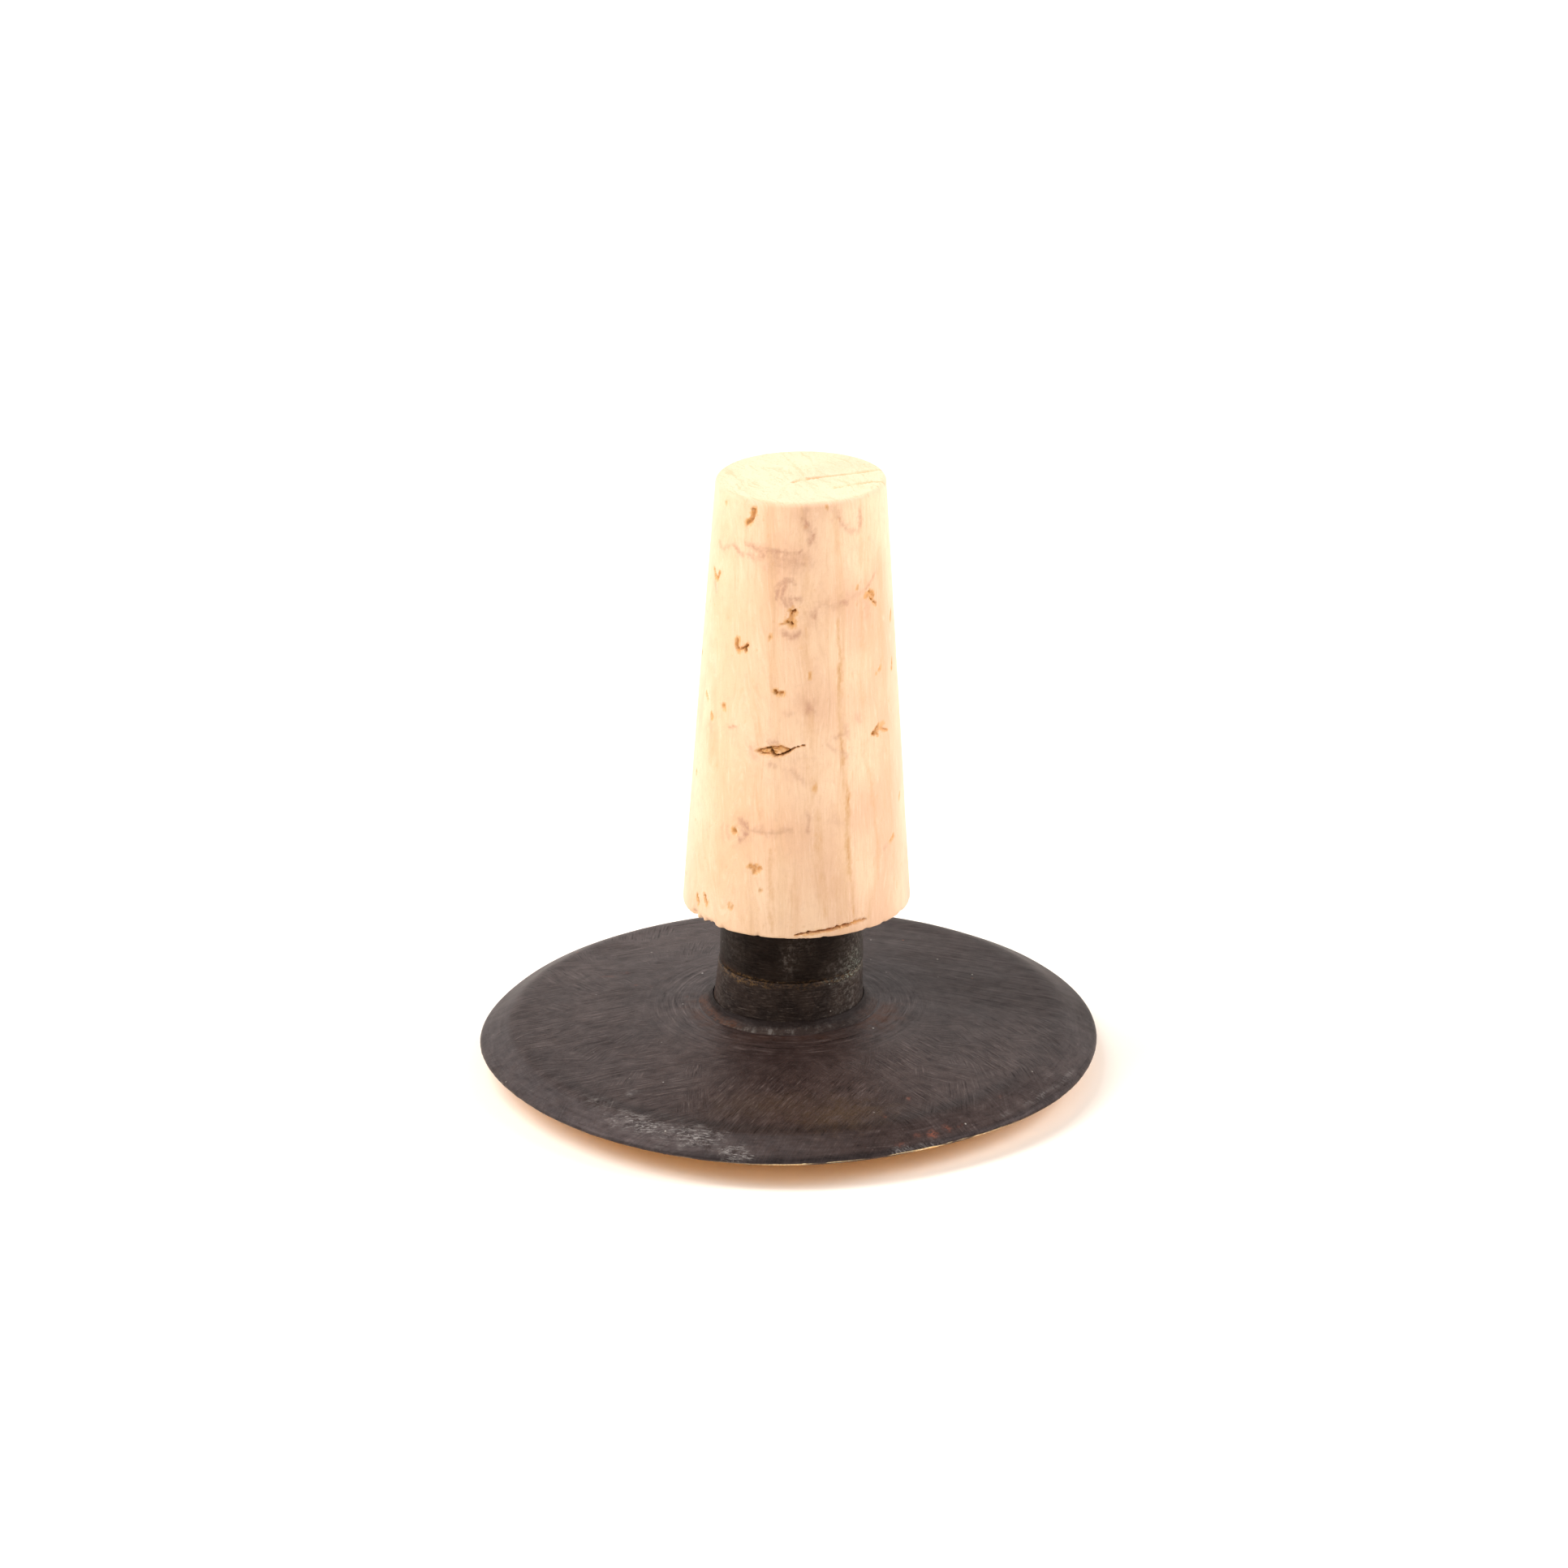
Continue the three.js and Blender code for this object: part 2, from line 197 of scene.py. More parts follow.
def surface(name, points, marks=None, poles=True, flip=False):
    """A closed mesh from rows by columns of points in mm. Columns wrap round.

    With poles the first and last rows each collapse to one vertex, otherwise the rows wrap too.
    marks holds a grid of values for each point attribute.
    """
    rows, cols, _ = points.shape

    def is_pole(r):
        return poles and r in (0, rows - 1)

    def flatten(grid):
        return np.concatenate([
            grid[r].mean(0, keepdims=True) if is_pole(r) else grid[r] for r in range(rows)
        ])

    index = np.zeros((rows, cols), np.int64)
    count = 0
    for r in range(rows):
        index[r] = count if is_pole(r) else np.arange(cols) + count
        count += 1 if is_pole(r) else cols

    loops, starts, totals = [], [], []
    loop_count = 0
    for r in range(rows - 1 if poles else rows):
        a, b = index[r], index[(r + 1) % rows]
        a_next, b_next = np.roll(a, -1), np.roll(b, -1)
        if is_pole(r):
            sides = [a, b_next, b]
        elif is_pole(r + 1):
            sides = [a, a_next, b]
        else:
            sides = [a, a_next, b_next, b]
        faces = np.stack(sides[::-1] if flip else sides, 1)
        loops.append(faces.ravel())
        starts.append(loop_count + np.arange(len(faces)) * len(sides))
        totals.append(np.full(len(faces), len(sides)))
        loop_count += faces.size
    loops, starts, totals = (np.concatenate(v).astype(np.int32) for v in (loops, starts, totals))

    vertices = flatten(points) * MM
    mesh = bpy.data.meshes.new(name)
    mesh.vertices.add(len(vertices))
    mesh.vertices.foreach_set("co", vertices.astype(np.float32).ravel())
    mesh.loops.add(len(loops))
    mesh.loops.foreach_set("vertex_index", loops)
    mesh.polygons.add(len(starts))
    mesh.polygons.foreach_set("loop_start", starts)
    mesh.polygons.foreach_set("loop_total", totals)
    mesh.update(calc_edges=True)
    mesh.validate()
    for key, grid in (marks or {}).items():
        layer = mesh.attributes.new(key, "FLOAT", "POINT")
        layer.data.foreach_set("value", flatten(grid).astype(np.float32))
    mesh.polygons.foreach_set("use_smooth", np.ones(len(starts), bool))
    obj = bpy.data.objects.new(name, mesh)
    bpy.context.scene.collection.objects.link(obj)
    return obj


def thread_radius(phi, z, pitch, minor, major):
    """Radius of a right-hand thread at an angle from the front and a height."""
    turn = np.arctan2(-np.cos(phi), np.sin(phi))  # the usual angle about +Z
    f = np.mod(z / pitch - turn / (2 * math.pi), 1.0)
    f = np.minimum(f, 1 - f)
    return minor + (major - minor) * (1 - smooth(1 / 16, 6 / 16, f))


# ------------------------------------------------------------- node materials


def srgb(*rgb):
    """A linear colour from 0..255 display values."""
    return tuple(
        (v / 255 / 12.92) if v / 255 <= 0.04045 else (((v / 255) + 0.055) / 1.055) ** 2.4
        for v in rgb
    )


class Nodes:
    """A short way to write a material's node tree."""

    def __init__(self, name):
        self.material = bpy.data.materials.new(name)
        self.material.use_nodes = True
        self.tree = self.material.node_tree
        self.tree.nodes.clear()
        output = self.node("OutputMaterial")
        self.bsdf = self.node("BsdfPrincipled")
        self.put(output.inputs["Surface"], self.bsdf.outputs[0])

    def node(self, kind):
        return self.tree.nodes.new("ShaderNode" + kind)

    def put(self, socket, value):
        """Link a socket, or set a number or an RGB colour."""
        if isinstance(value, bpy.types.NodeSocket):
            self.tree.links.new(value, socket)
        elif hasattr(value, "__len__"):
            socket.default_value = (*value, 1.0)
        else:
            socket.default_value = value

    def set(self, **inputs):
        for name, value in inputs.items():
            self.put(self.bsdf.inputs[name.replace("_", " ")], value)

    def math(self, operation, *values):
        n = self.node("Math")
        n.operation = operation
        for socket, value in zip(n.inputs, values):
            self.put(socket, value)
        return n.outputs[0]

    def add(self, a, b):
        return self.math("ADD", a, b)

    def sub(self, a, b):
        return self.math("SUBTRACT", a, b)

    def mul(self, a, b):
        return self.math("MULTIPLY", a, b)

    def fade(self, value, start, end, low=0.0, high=1.0, kind="SMOOTHSTEP"):
        """Go from low to high, eased, as the value goes from start to end."""
        n = self.node("MapRange")
        n.interpolation_type = kind
        self.put(n.inputs["Value"], value)
        for name, x in (("From Min", start), ("From Max", end), ("To Min", low), ("To Max", high)):
            self.put(n.inputs[name], x)
        return n.outputs[0]

    def linear(self, value, start, end, low, high):
        return self.fade(value, start, end, low, high, "LINEAR")

    def mix(self, share, a, b):
        n = self.node("Mix")
        n.data_type = "RGBA"
        for i, value in ((0, share), (6, a), (7, b)):
            self.put(n.inputs[i], value)
        return n.outputs[2]

    def mix_float(self, share, a, b):
        n = self.node("Mix")
        n.data_type = "FLOAT"
        for i, value in ((0, share), (2, a), (3, b)):
            self.put(n.inputs[i], value)
        return n.outputs[0]

    def tint(self, base, mask, share, rgb):
        """Lay a 0..255 colour over the base through a share of the mask."""
        return self.mix(self.mul(mask, share), base, srgb(*rgb))

    def tints(self, base, layers):
        """Lay tints from rows of (pattern, where it starts, where it is full, share, colour)."""
        for pattern, start, full, share, rgb in layers:
            base = self.tint(base, self.fade(pattern, start, full), share, rgb)
        return base

    @cached_property
    def mm(self):
        """Object coordinates in millimetres."""
        n = self.node("VectorMath")
        n.operation = "SCALE"
        self.put(n.inputs[0], self.node("TexCoord").outputs["Object"])
        n.inputs["Scale"].default_value = 1000.0
        return n.outputs[0]

    def place(self, vector, scale=(1, 1, 1), loc=(0, 0, 0)):
        n = self.node("Mapping")
        self.put(n.inputs["Vector"], vector)
        n.inputs["Scale"].default_value = scale
        n.inputs["Location"].default_value = loc
        return n.outputs[0]

    def noise(self, vector, scale=1.0, detail=2.0, rough=0.5, distort=0.0):
        n = self.node("TexNoise")
        self.put(n.inputs["Vector"], vector)
        n.inputs["Scale"].default_value = scale
        n.inputs["Detail"].default_value = detail
        n.inputs["Roughness"].default_value = rough
        n.inputs["Distortion"].default_value = distort
        return n.outputs["Fac"]

    def voronoi(self, vector, scale, output="Distance"):
        n = self.node("TexVoronoi")
        self.put(n.inputs["Vector"], vector)
        n.inputs["Scale"].default_value = scale
        return n.outputs[output]

    def attr(self, name):
        n = self.node("Attribute")
        n.attribute_name = name
        return n.outputs["Fac"]

    def xyz(self, vector):
        n = self.node("SeparateXYZ")
        self.put(n.inputs[0], vector)
        return n.outputs[0], n.outputs[1], n.outputs[2]

    def vec(self, *values):
        n = self.node("CombineXYZ")
        for socket, value in zip(n.inputs, values):
            self.put(socket, value)
        return n.outputs[0]

    def bump(self, height, distance, strength):
        n = self.node("Bump")
        self.put(n.inputs["Height"], height)
        n.inputs["Distance"].default_value = distance
        n.inputs["Strength"].default_value = strength
        return n.outputs[0]

    def polar(self):
        """Radius, angle from the front and height, in mm and radians. The seam is at the back."""
        x, y, z = self.xyz(self.mm)
        r = self.math("SQRT", self.add(self.mul(x, x), self.mul(y, y)))
        return r, self.math("ARCTAN2", x, self.mul(y, -1.0)), z

    def along(self, degrees, long, across, shift):
        """Coordinates for strokes that run in one direction across the XY plane."""
        x, y, z = self.xyz(self.mm)
        c, s = math.cos(math.radians(degrees)), math.sin(math.radians(degrees))
        u = self.add(self.mul(x, c), self.mul(y, s))
        v = self.add(self.mul(x, -s), self.mul(y, c))
        depth = self.add(self.mul(z, 0.3), shift)
        return self.vec(self.mul(u, long), self.mul(v, across), depth)

    def spiral(self, degrees, long, across, shift):
        """Coordinates for strokes that leave the middle at an angle to the radius."""
        r, turn, _ = self.polar()
        log_r = self.math("LOGARITHM", self.math("MAXIMUM", r, 0.5), math.e)
        v = self.sub(turn, self.mul(log_r, math.tan(math.radians(degrees))))
        return self.vec(self.mul(log_r, long), self.mul(v, across), shift)


# ------------------------------------------------------------------ the cork
# Marks on the side are placed by (angle from the front in degrees, height above the wide end in mm).

# pits: (points, half width, depth, darkness)
PITS = [
    ([(-34, 45.05), (-31.9, 44.98), (-32.6, 44.45), (-33.6, 44)], 0.2, 0.45, 0.15),
    ([(-31.9, 45.05), (-31.6, 44.85)], 0.1, 0.55, 0.8),
    ([(-33.4, 44.1), (-34.4, 43.85), (-36.9, 43.5)], 0.22, 0.5, 0.25),
    ([(-33.2, 44), (-34, 43.8)], 0.09, 0.6, 0.8), ([(-36, 43.5), (-37, 43.42)], 0.09, 0.6, 0.8),
    ([(-70, 37.3), (-66.5, 36.75), (-63.6, 36.5)], 0.18, 0.35, 0.35),
    ([(-63.6, 36.5), (-61.3, 37.4)], 0.14, 0.3, 0.45),
    ([(-66, 36.7), (-64, 36.45)], 0.1, 0.45, 0.7),
    ([(-3.2, 34.85), (-4.7, 34.8), (-5.4, 34.35), (-6, 33.95), (-5.2, 33.55)], 0.3, 0.34, 0.1),
    ([(-7.6, 33.75), (-4.4, 33.45)], 0.22, 0.34, 0.25),
    ([(-3, 34.92), (-4.6, 34.88)], 0.13, 0.7, 0.95), ([(-4.6, 34.8), (-5.3, 34.5)], 0.09, 0.6, 0.7),
    ([(-5.5, 33.62), (-4, 33.42)], 0.13, 0.7, 0.95), ([(-8, 33.75), (-6.9, 33.6)], 0.08, 0.45, 0.7),
    ([(-12, 33.42), (-9.6, 33.55), (-7.6, 33.65)], 0.1, 0.22, 0.25),
    ([(-40.4, 31.15), (-40.9, 30.4), (-39, 30.08)], 0.2, 0.4, 0.45),
    ([(-40.6, 30.5), (-39.6, 30.1)], 0.1, 0.55, 0.85),
    ([(-36.6, 30.35), (-34.4, 30.55), (-32.8, 30.8)], 0.16, 0.5, 0.8),
    ([(-34.2, 30.6), (-33.4, 30.1)], 0.17, 0.5, 0.85),
    ([(-38.6, 30.1), (-36.6, 30.35)], 0.1, 0.3, 0.3),
    ([(45.4, 35.45), (48.4, 35.7), (51.2, 35.2), (48.6, 35.2)], 0.24, 0.32, 0.2),
    ([(48.2, 35.85), (49.6, 35.65)], 0.09, 0.45, 0.75), ([(49, 35), (50, 34.85)], 0.09, 0.5, 0.75),
    ([(51.3, 34.6), (54.3, 34.25)], 0.17, 0.32, 0.3),
    ([(74.2, 32.35), (72.7, 31.55)], 0.17, 0.3, 0.25),
    ([(71.6, 27.4), (70.3, 26.4)], 0.12, 0.28, 0.45), ([(55.6, 27.35), (52.4, 26.9)], 0.12, 0.24, 0.2),
    ([(-14.4, 26.38), (-11.9, 26.27), (-9.2, 26.2)], 0.17, 0.38, 0.25),
    ([(-14.4, 26.42), (-13.2, 26.22)], 0.15, 0.5, 0.75),
    ([(-10.6, 26.3), (-9.3, 26.22)], 0.1, 0.45, 0.6),
    ([(-67.8, 24.1), (-65.1, 23.6)], 0.1, 0.22, 0.35),
    ([(-48.9, 23.75), (-48.5, 23.6)], 0.24, 0.34, 0.25),
    ([(-59.9, 22.3), (-58.5, 21.9)], 0.18, 0.3, 0.3),
    ([(45.6, 20.75), (48.6, 20.97), (51.4, 21.45)], 0.13, 0.4, 0.6),
    ([(45.8, 20.72), (47.6, 20.6)], 0.19, 0.5, 0.8),
    ([(48.6, 20.97), (54, 20.85), (60.5, 20.35)], 0.11, 0.25, 0.25),
    ([(48.6, 20.97), (50.4, 20.31)], 0.1, 0.3, 0.45), ([(51, 21.35), (58, 21.35)], 0.08, 0.18, 0.2),
    ([(-35.3, 10.95), (-34.9, 10.82)], 0.24, 0.38, 0.45),
    ([(-24.9, 7.38), (-22.7, 7.3), (-20.4, 7.28)], 0.22, 0.34, 0.15),
    ([(-22.9, 7.55), (-22.8, 6.9)], 0.24, 0.36, 0.3), ([(57.2, 8.39), (61.3, 8.72)], 0.13, 0.28, 0.3),
    ([(-61.4, 2.45), (-60.1, 1.5)], 0.16, 0.36, 0.5),
    ([(-54.8, 2.9), (-53.6, 2.4), (-52.7, 1.9)], 0.16, 0.4, 0.55),
    ([(72.4, 12.72), (71.4, 12.18)], 0.1, 0.25, 0.3), ([(-74.4, 15.1), (-74.2, 14.9)], 0.11, 0.2, 0.2),
    ([(-70.3, 10.25), (-70.2, 10)], 0.12, 0.2, 0.3), ([(16.7, 45.62), (16.9, 45.55)], 0.1, 0.18, 0.4),
    ([(-59.5, 44.9), (-59.2, 44.8)], 0.12, 0.2, 0.3), ([(-19.5, 5.08), (-19, 4.98)], 0.09, 0.18, 0.2),
    ([(-18.6, 31.85), (-17.7, 32.15)], 0.13, 0.2, 0.1), ([(37.6, 36.5), (38.3, 36.8)], 0.1, 0.16, 0.1),
    ([(5.9, 28.25), (6.1, 27.9)], 0.1, 0.2, 0.2), ([(8.7, 16.35), (8.9, 16.05)], 0.16, 0.12, 0.2),
    # a little ring-shaped scar
    ([(-35.9 + 1.35 * math.cos(t), 2.72 + 0.28 * math.sin(t)) for t in np.linspace(0.3, 6, 12)],
     0.085, 0.16, 0.2),
]

# outline of the big lens-shaped scar
LENS = [
    (-24.9, 19.85), (-18.7, 20.33), (-13.5, 20.58), (-10.2, 20.65), (-6.7, 20.49), (-5, 20.34),
    (-3.6, 20.33), (-5.5, 20.02), (-7.5, 19.8), (-10.9, 19.58), (-15.1, 19.6), (-20.3, 19.62),
]
# the crack that runs out of it: (points, half width, depth)
LENS_CRACK = [
    ([(-16.2, 20.35), (-15.2, 20.07), (-14.3, 19.69), (-12.4, 19.58), (-10, 19.68), (-7.4, 19.86),
      (-5.2, 20.05), (-4, 20.28), (-2.2, 20.5)], 0.11, 0.85),
    ([(-2.2, 20.5), (0.6, 20.66), (3.6, 20.76)], 0.055, 0.4),
]
# the split above the wide end's edge, and its shallow end
LIP = [
    (-0.8, 0.44), (1, 0.5), (2.4, 0.55), (4.8, 0.66), (6.9, 0.7), (10, 0.71), (12.9, 0.73),
    (17.6, 0.79), (20.8, 0.92), (24.9, 1), (28.3, 1.05),
]
LIP_END = [(28.3, 1.05), (31.8, 1.1), (36.6, 1.13)]
# chips out of the wide end's edge: (angle, height, half width in mm, depth)
CHIPS = [
    (-62.7, 0.28, 0.42, 0.34), (-51.4, 0.1, 0.38, 0.32), (-48.2, 0.05, 0.5, 0.34),
    (-56.5, 0, 0.35, 0.22), (-40, 0, 0.3, 0.12), (-20, 0, 0.25, 0.1), (37.5, 0, 0.35, 0.1),
    (14, 0, 0.3, 0.08), (49, 0, 0.3, 0.08), (66, 0, 0.4, 0.09), (118, 0.05, 0.5, 0.35),
    (-159, 0.05, 0.45, 0.3),
]
# (points, half width, strength)
SMUDGES = [
    ([(-38.1, 41.35), (-33.9, 41.27), (-29.3, 40.98), (-22.9, 41.04), (-14.8, 41.02),
      (-7.1, 40.93), (-1.4, 40.87), (0.6, 41.32)], 0.17, 0.6),
    ([(-35.3, 40.18), (-30.1, 40.01), (-24.8, 40.3), (-22.8, 40.73)], 0.15, 0.55),
    ([(-30.2, 40.95), (-27, 40.75)], 0.42, 0.4),
    ([(-47.8, 40.86), (-44, 40.29), (-39.5, 40.14)], 0.15, 0.55),
    ([(-64.1, 40.46), (-60.2, 39.85), (-52.2, 40.53)], 0.15, 0.35),
    ([(-16.5, 40.2), (-8, 40), (0.7, 40)], 0.7, 0.42), ([(-20.5, 39.7), (-15.5, 39.2)], 0.55, 0.25),
    ([(2.4, 44.43), (4.9, 43.5), (8.3, 42.85), (6.3, 42.09)], 0.19, 0.62),
    ([(3.6, 43.9), (6, 43.3)], 0.38, 0.4), ([(3, 45.52), (2, 44.43)], 0.18, 0.35),
    ([(24.5, 44.48), (28.9, 43.28), (34.6, 42.56), (40.7, 42.75), (42.3, 43.62), (41.9, 44.74)],
     0.16, 0.5),
    ([(23, 45.2), (25.5, 44)], 0.3, 0.3),
    ([(-15, 36.07), (-14.6, 36.9), (-13.3, 37.34), (-8.6, 38.17), (-2.9, 37.72)], 0.2, 0.55),
    ([(-9.5, 37.54), (-11.7, 36.42), (-8.3, 35.35)], 0.15, 0.6),
    ([(-6.4, 35.52), (-5.2, 36.31), (0, 36)], 0.16, 0.62), ([(-7, 36.8), (-12, 35.9)], 0.55, 0.2),
    ([(-9.8, 32.66), (-7.9, 32.29), (-4.3, 32.19), (-0.7, 32.55)], 0.19, 0.58),
    ([(7.7, 34.6), (7.9, 34.45)], 0.3, 0.85), ([(7.6, 34.3), (7.2, 33.6)], 0.35, 0.22),
    ([(28.2, 35.45), (28.4, 35.35)], 0.28, 0.75),
    ([(9.9, 35), (12.5, 35.4), (15.6, 35.51), (20, 35.1), (24, 35.17)], 0.2, 0.28),
    ([(30.3, 35.68), (37.6, 35.86), (43, 36.09)], 0.18, 0.22),
    ([(55, 37.56), (50, 36.9), (45.5, 36.23)], 0.11, 0.45), ([(46, 34.9), (46, 33.5)], 0.45, 0.18),
    ([(5.7, 24.77), (5.9, 24.7)], 0.4, 0.55), ([(2, 25.4), (4.2, 25.06)], 0.65, 0.18),
    ([(-7.5, 24), (-4.5, 24.1)], 0.16, 0.28), ([(-15.5, 20.98), (-12.8, 21.02)], 0.17, 0.55),
    ([(-15.5, 18.6), (-13.2, 18.5)], 0.17, 0.55),
    ([(-4, 17.94), (-1.5, 17.6), (1.8, 17.07)], 0.16, 0.35),
    ([(-6.5, 17.9), (-4.6, 18.2), (-2.6, 17.8)], 0.35, 0.2),
    ([(-8, 19.5), (-4, 19.2), (0, 19.4)], 0.4, 0.15),
    ([(20.5, 21.28), (24.5, 21.5), (28.8, 21.65)], 0.15, 0.38),
    ([(26.4, 22.2), (28.6, 21.2)], 0.22, 0.3), ([(25, 19.61), (28, 19.16)], 0.16, 0.32),
    ([(16.8, 20.51), (20.6, 19.9)], 0.15, 0.28), ([(34.5, 23.17), (37.2, 22.54)], 0.22, 0.25),
    ([(-27.8, 20.12), (-25.6, 19.23)], 0.25, 0.32),
    ([(-31.3, 11.91), (-28.5, 11.71), (-27.7, 11.17), (-29.5, 10.49), (-31.9, 10.14)], 0.26, 0.62),
    ([(-30, 11.5), (-28.9, 11)], 0.32, 0.4), ([(-40.5, 11.3), (-41.2, 10.6), (-39.5, 9.9)], 0.12, 0.26),
    ([(-43.2, 11.6), (-44, 10.6), (-42, 9.4)], 0.12, 0.18),
    ([(-26, 11.3), (-21.5, 11.35), (-17.2, 11.21), (-12.3, 11.3), (-7.5, 11.59), (-2.8, 11.7)],
     0.18, 0.42),
    ([(-21.5, 11.6), (-19.5, 11.9)], 0.2, 0.28), ([(4.7, 13.36), (5.9, 12.87), (5.2, 11.43)], 0.11, 0.45),
    ([(18.5, 12.6), (20.5, 12.2)], 0.35, 0.2),
    ([(-43, 21.66), (-40.5, 21.93), (-37.8, 21.91)], 0.05, 0.75),
    ([(-66.5, 36), (-64.5, 35.2)], 0.22, 0.3), ([(-60, 21.2), (-59, 20.6)], 0.22, 0.22),
    ([(54, 8.1), (52, 7.9)], 0.1, 0.3),
]
# (points, half width, strength)
GRAIN = [
    ([(23.5, 33.65), (23.8, 31.11), (25.6, 29.64), (24, 28.57), (24.3, 27.3), (23.7, 26.28),
      (23.2, 25.02), (23.4, 23.11), (24.1, 21.01), (24.9, 19.55), (24.8, 17.95), (26, 16.63),
      (28.1, 14.95), (27.5, 13.52), (27.2, 11.45), (27.3, 8.38), (28.3, 5.89), (29.5, 4.08),
      (29.7, 1.78)], 0.13, 0.95),
    ([(23.9, 39.9), (23.4, 36.5), (23.5, 33.65)], 0.16, 0.35),
    ([(10.4, 13.62), (11.1, 8.82), (12.3, 5.85), (13.8, 3.26), (14.5, 2.28)], 0.28, 0.6),
    ([(-14.1, 9.42), (-14.2, 6.67), (-13, 3.93), (-12.6, 0.69)], 0.18, 0.62),
    ([(3.2, 40.22), (4.9, 35.97), (3.1, 30.88), (5.2, 25.74), (7.1, 21.43), (7.6, 18.41),
      (8.5, 16.24), (5.8, 13.84)], 0.38, 0.42),
    ([(-1.5, 6.6), (-1.5, 4.03), (-1.3, 0.35)], 0.3, 0.35),
    ([(46.4, 9.38), (47.1, 7.71), (44.1, 4.61), (41.8, 3.43), (38.6, 1.26)], 0.22, 0.5),
    ([(-36.3, 9.43), (-36.8, 7.65), (-35.3, 4.2)], 0.26, 0.28),
    ([(-31.9, 2.58), (-28.8, 1.47)], 0.22, 0.25),
    ([(-27, 26.5), (-24.8, 23.65), (-22.6, 21.92), (-23.2, 20.5)], 0.15, 0.42),
    ([(-22.1, 18.89), (-24.1, 16.15), (-21.9, 13.95), (-20.8, 12.68)], 0.15, 0.4),
    ([(40.7, 35.15), (40.7, 30), (38.5, 25.78), (39.9, 21.38), (39.8, 18.08), (43, 16.44),
      (44.8, 13.72), (46.4, 9.38)], 0.2, 0.42),
    ([(-0.2, 45.7), (0.6, 41.07)], 0.16, 0.42), ([(23.9, 45.3), (23.4, 39.94)], 0.26, 0.32),
    ([(43, 45.6), (41.6, 38.54)], 0.13, 0.36), ([(44.9, 40.12), (45.1, 35.4)], 0.16, 0.25),
    ([(-17.6, 32.04), (-16.2, 26.5)], 0.24, 0.32),
    ([(-57.1, 22.2), (-54, 16.5), (-52.7, 11.86)], 0.4, 0.25),
    ([(-48.2, 39.24), (-46.8, 33)], 0.4, 0.22), ([(-39.5, 43.81), (-39.2, 41.44)], 0.2, 0.28),
    ([(17.3, 39.22), (17.4, 31.56)], 0.4, 0.22), ([(-34.8, 26.01), (-32.7, 24.54)], 0.2, 0.22),
    ([(-8.1, 13.67), (-8.3, 6.71), (-8, 2)], 0.4, 0.22), ([(-47.5, 11.51), (-45.3, 4.57)], 0.35, 0.2),
    ([(60, 40), (58, 24), (61, 6)], 0.35, 0.22), ([(20, 14), (20.5, 4)], 0.35, 0.22),
]
# cracks, then flat bands, on the narrow end:
# (points as x, y from its centre, half width, depth, strength)
TOP_MARKS = [
    ([(-0.75, -1.61), (0.09, -0.92), (1.16, -0.45), (2.23, -0.08), (3.77, 0.45), (4.84, 0.77),
      (6.23, 1.37), (7.46, 1.92), (8.5, 2.1)], 0.24, 0.3, 1.0),
    ([(3.27, -3.64), (4.33, -3.2), (5.1, -2.64), (6.17, -2.28), (7.09, -1.8), (8.6, -1.8)],
     0.22, 0.26, 0.95),
    ([(-4.6, 3.5), (-4.03, 2.84), (-3.42, 2.09), (-2.96, 0.39)], 0.26, 0.02, 0.4),
    ([(-2, 8), (-1.57, 6.73), (-0.5, 3.26), (0.11, 1.76), (0.25, 0.31)], 0.26, 0.02, 0.38),
    ([(-4.6, 2.4), (-3, 2.9)], 0.1, 0.05, 0.45), ([(-0.9, 3.4), (0.2, 3.3)], 0.09, 0.05, 0.35),
    ([(2.6, 7.2), (3.9, 3.4), (4.6, -0.6), (4.4, -4.8)], 0.34, 0, 0.22),
    ([(5.9, 5.2), (6.6, 0.5), (6.2, -4.2)], 0.3, 0, 0.18),
    ([(-6.6, 4.2), (-6, -0.5), (-6.4, -4.4)], 0.34, 0, 0.2),
    ([(-1.4, -2.2), (-2.2, -6.9)], 0.32, 0, 0.18),
]
# where the grid is finer: (angle, spread) and (height, spread, extra density)
COLUMN_FOCUS = [(-34, 5), (-5, 7), (48, 8), (-12, 9), (-23, 4), (-35, 4), (25, 4)]
ROW_FOCUS = [
    (44.3, 0.9, 1.0), (37, 0.7, 0.6), (34.2, 0.9, 1.5), (35.3, 0.7, 0.7), (30.5, 0.6, 1.1),
    (26.3, 0.35, 1.0), (23.8, 0.4, 0.5), (20.2, 0.75, 2.2), (10.9, 0.5, 0.8), (7.3, 0.5, 1.1),
    (8.5, 0.3, 0.5), (2.3, 0.8, 0.8), (0.7, 0.6, 2.2), (0, 0.4, 1.5), (41, 0.6, 0.4), (22, 0.3, 0.4),
]


def cork_centre(z):
    return WIDE_X + (NARROW_X - WIDE_X) * (z - WIDE_Z) / (NARROW_Z - WIDE_Z)


def cork_radius(z):
    return WIDE_R + (NARROW_R - WIDE_R) * (z - WIDE_Z) / (NARROW_Z - WIDE_Z)


def mm_per_degree(height):
    """Distance round the side for one degree, at a height above the wide end."""
    return math.radians(1) * cork_radius(WIDE_Z + height)


def cork_columns(count):
    """Angles round the cork in degrees, closest at the front, where the marks are finest."""
    def density(t):
        front = 0.85 + 1.25 * np.clip(np.cos(np.radians(t)), 0, 1) ** 0.8
        d = np.where(np.abs(t) < 90, front, 0.72)
        for angle, spread in COLUMN_FOCUS:
            d = d + 0.35 * bell(t, angle, spread)
        return d
    return np.degrees(np.radians(graded(-180, 180, count + 1, density)[:-1]))


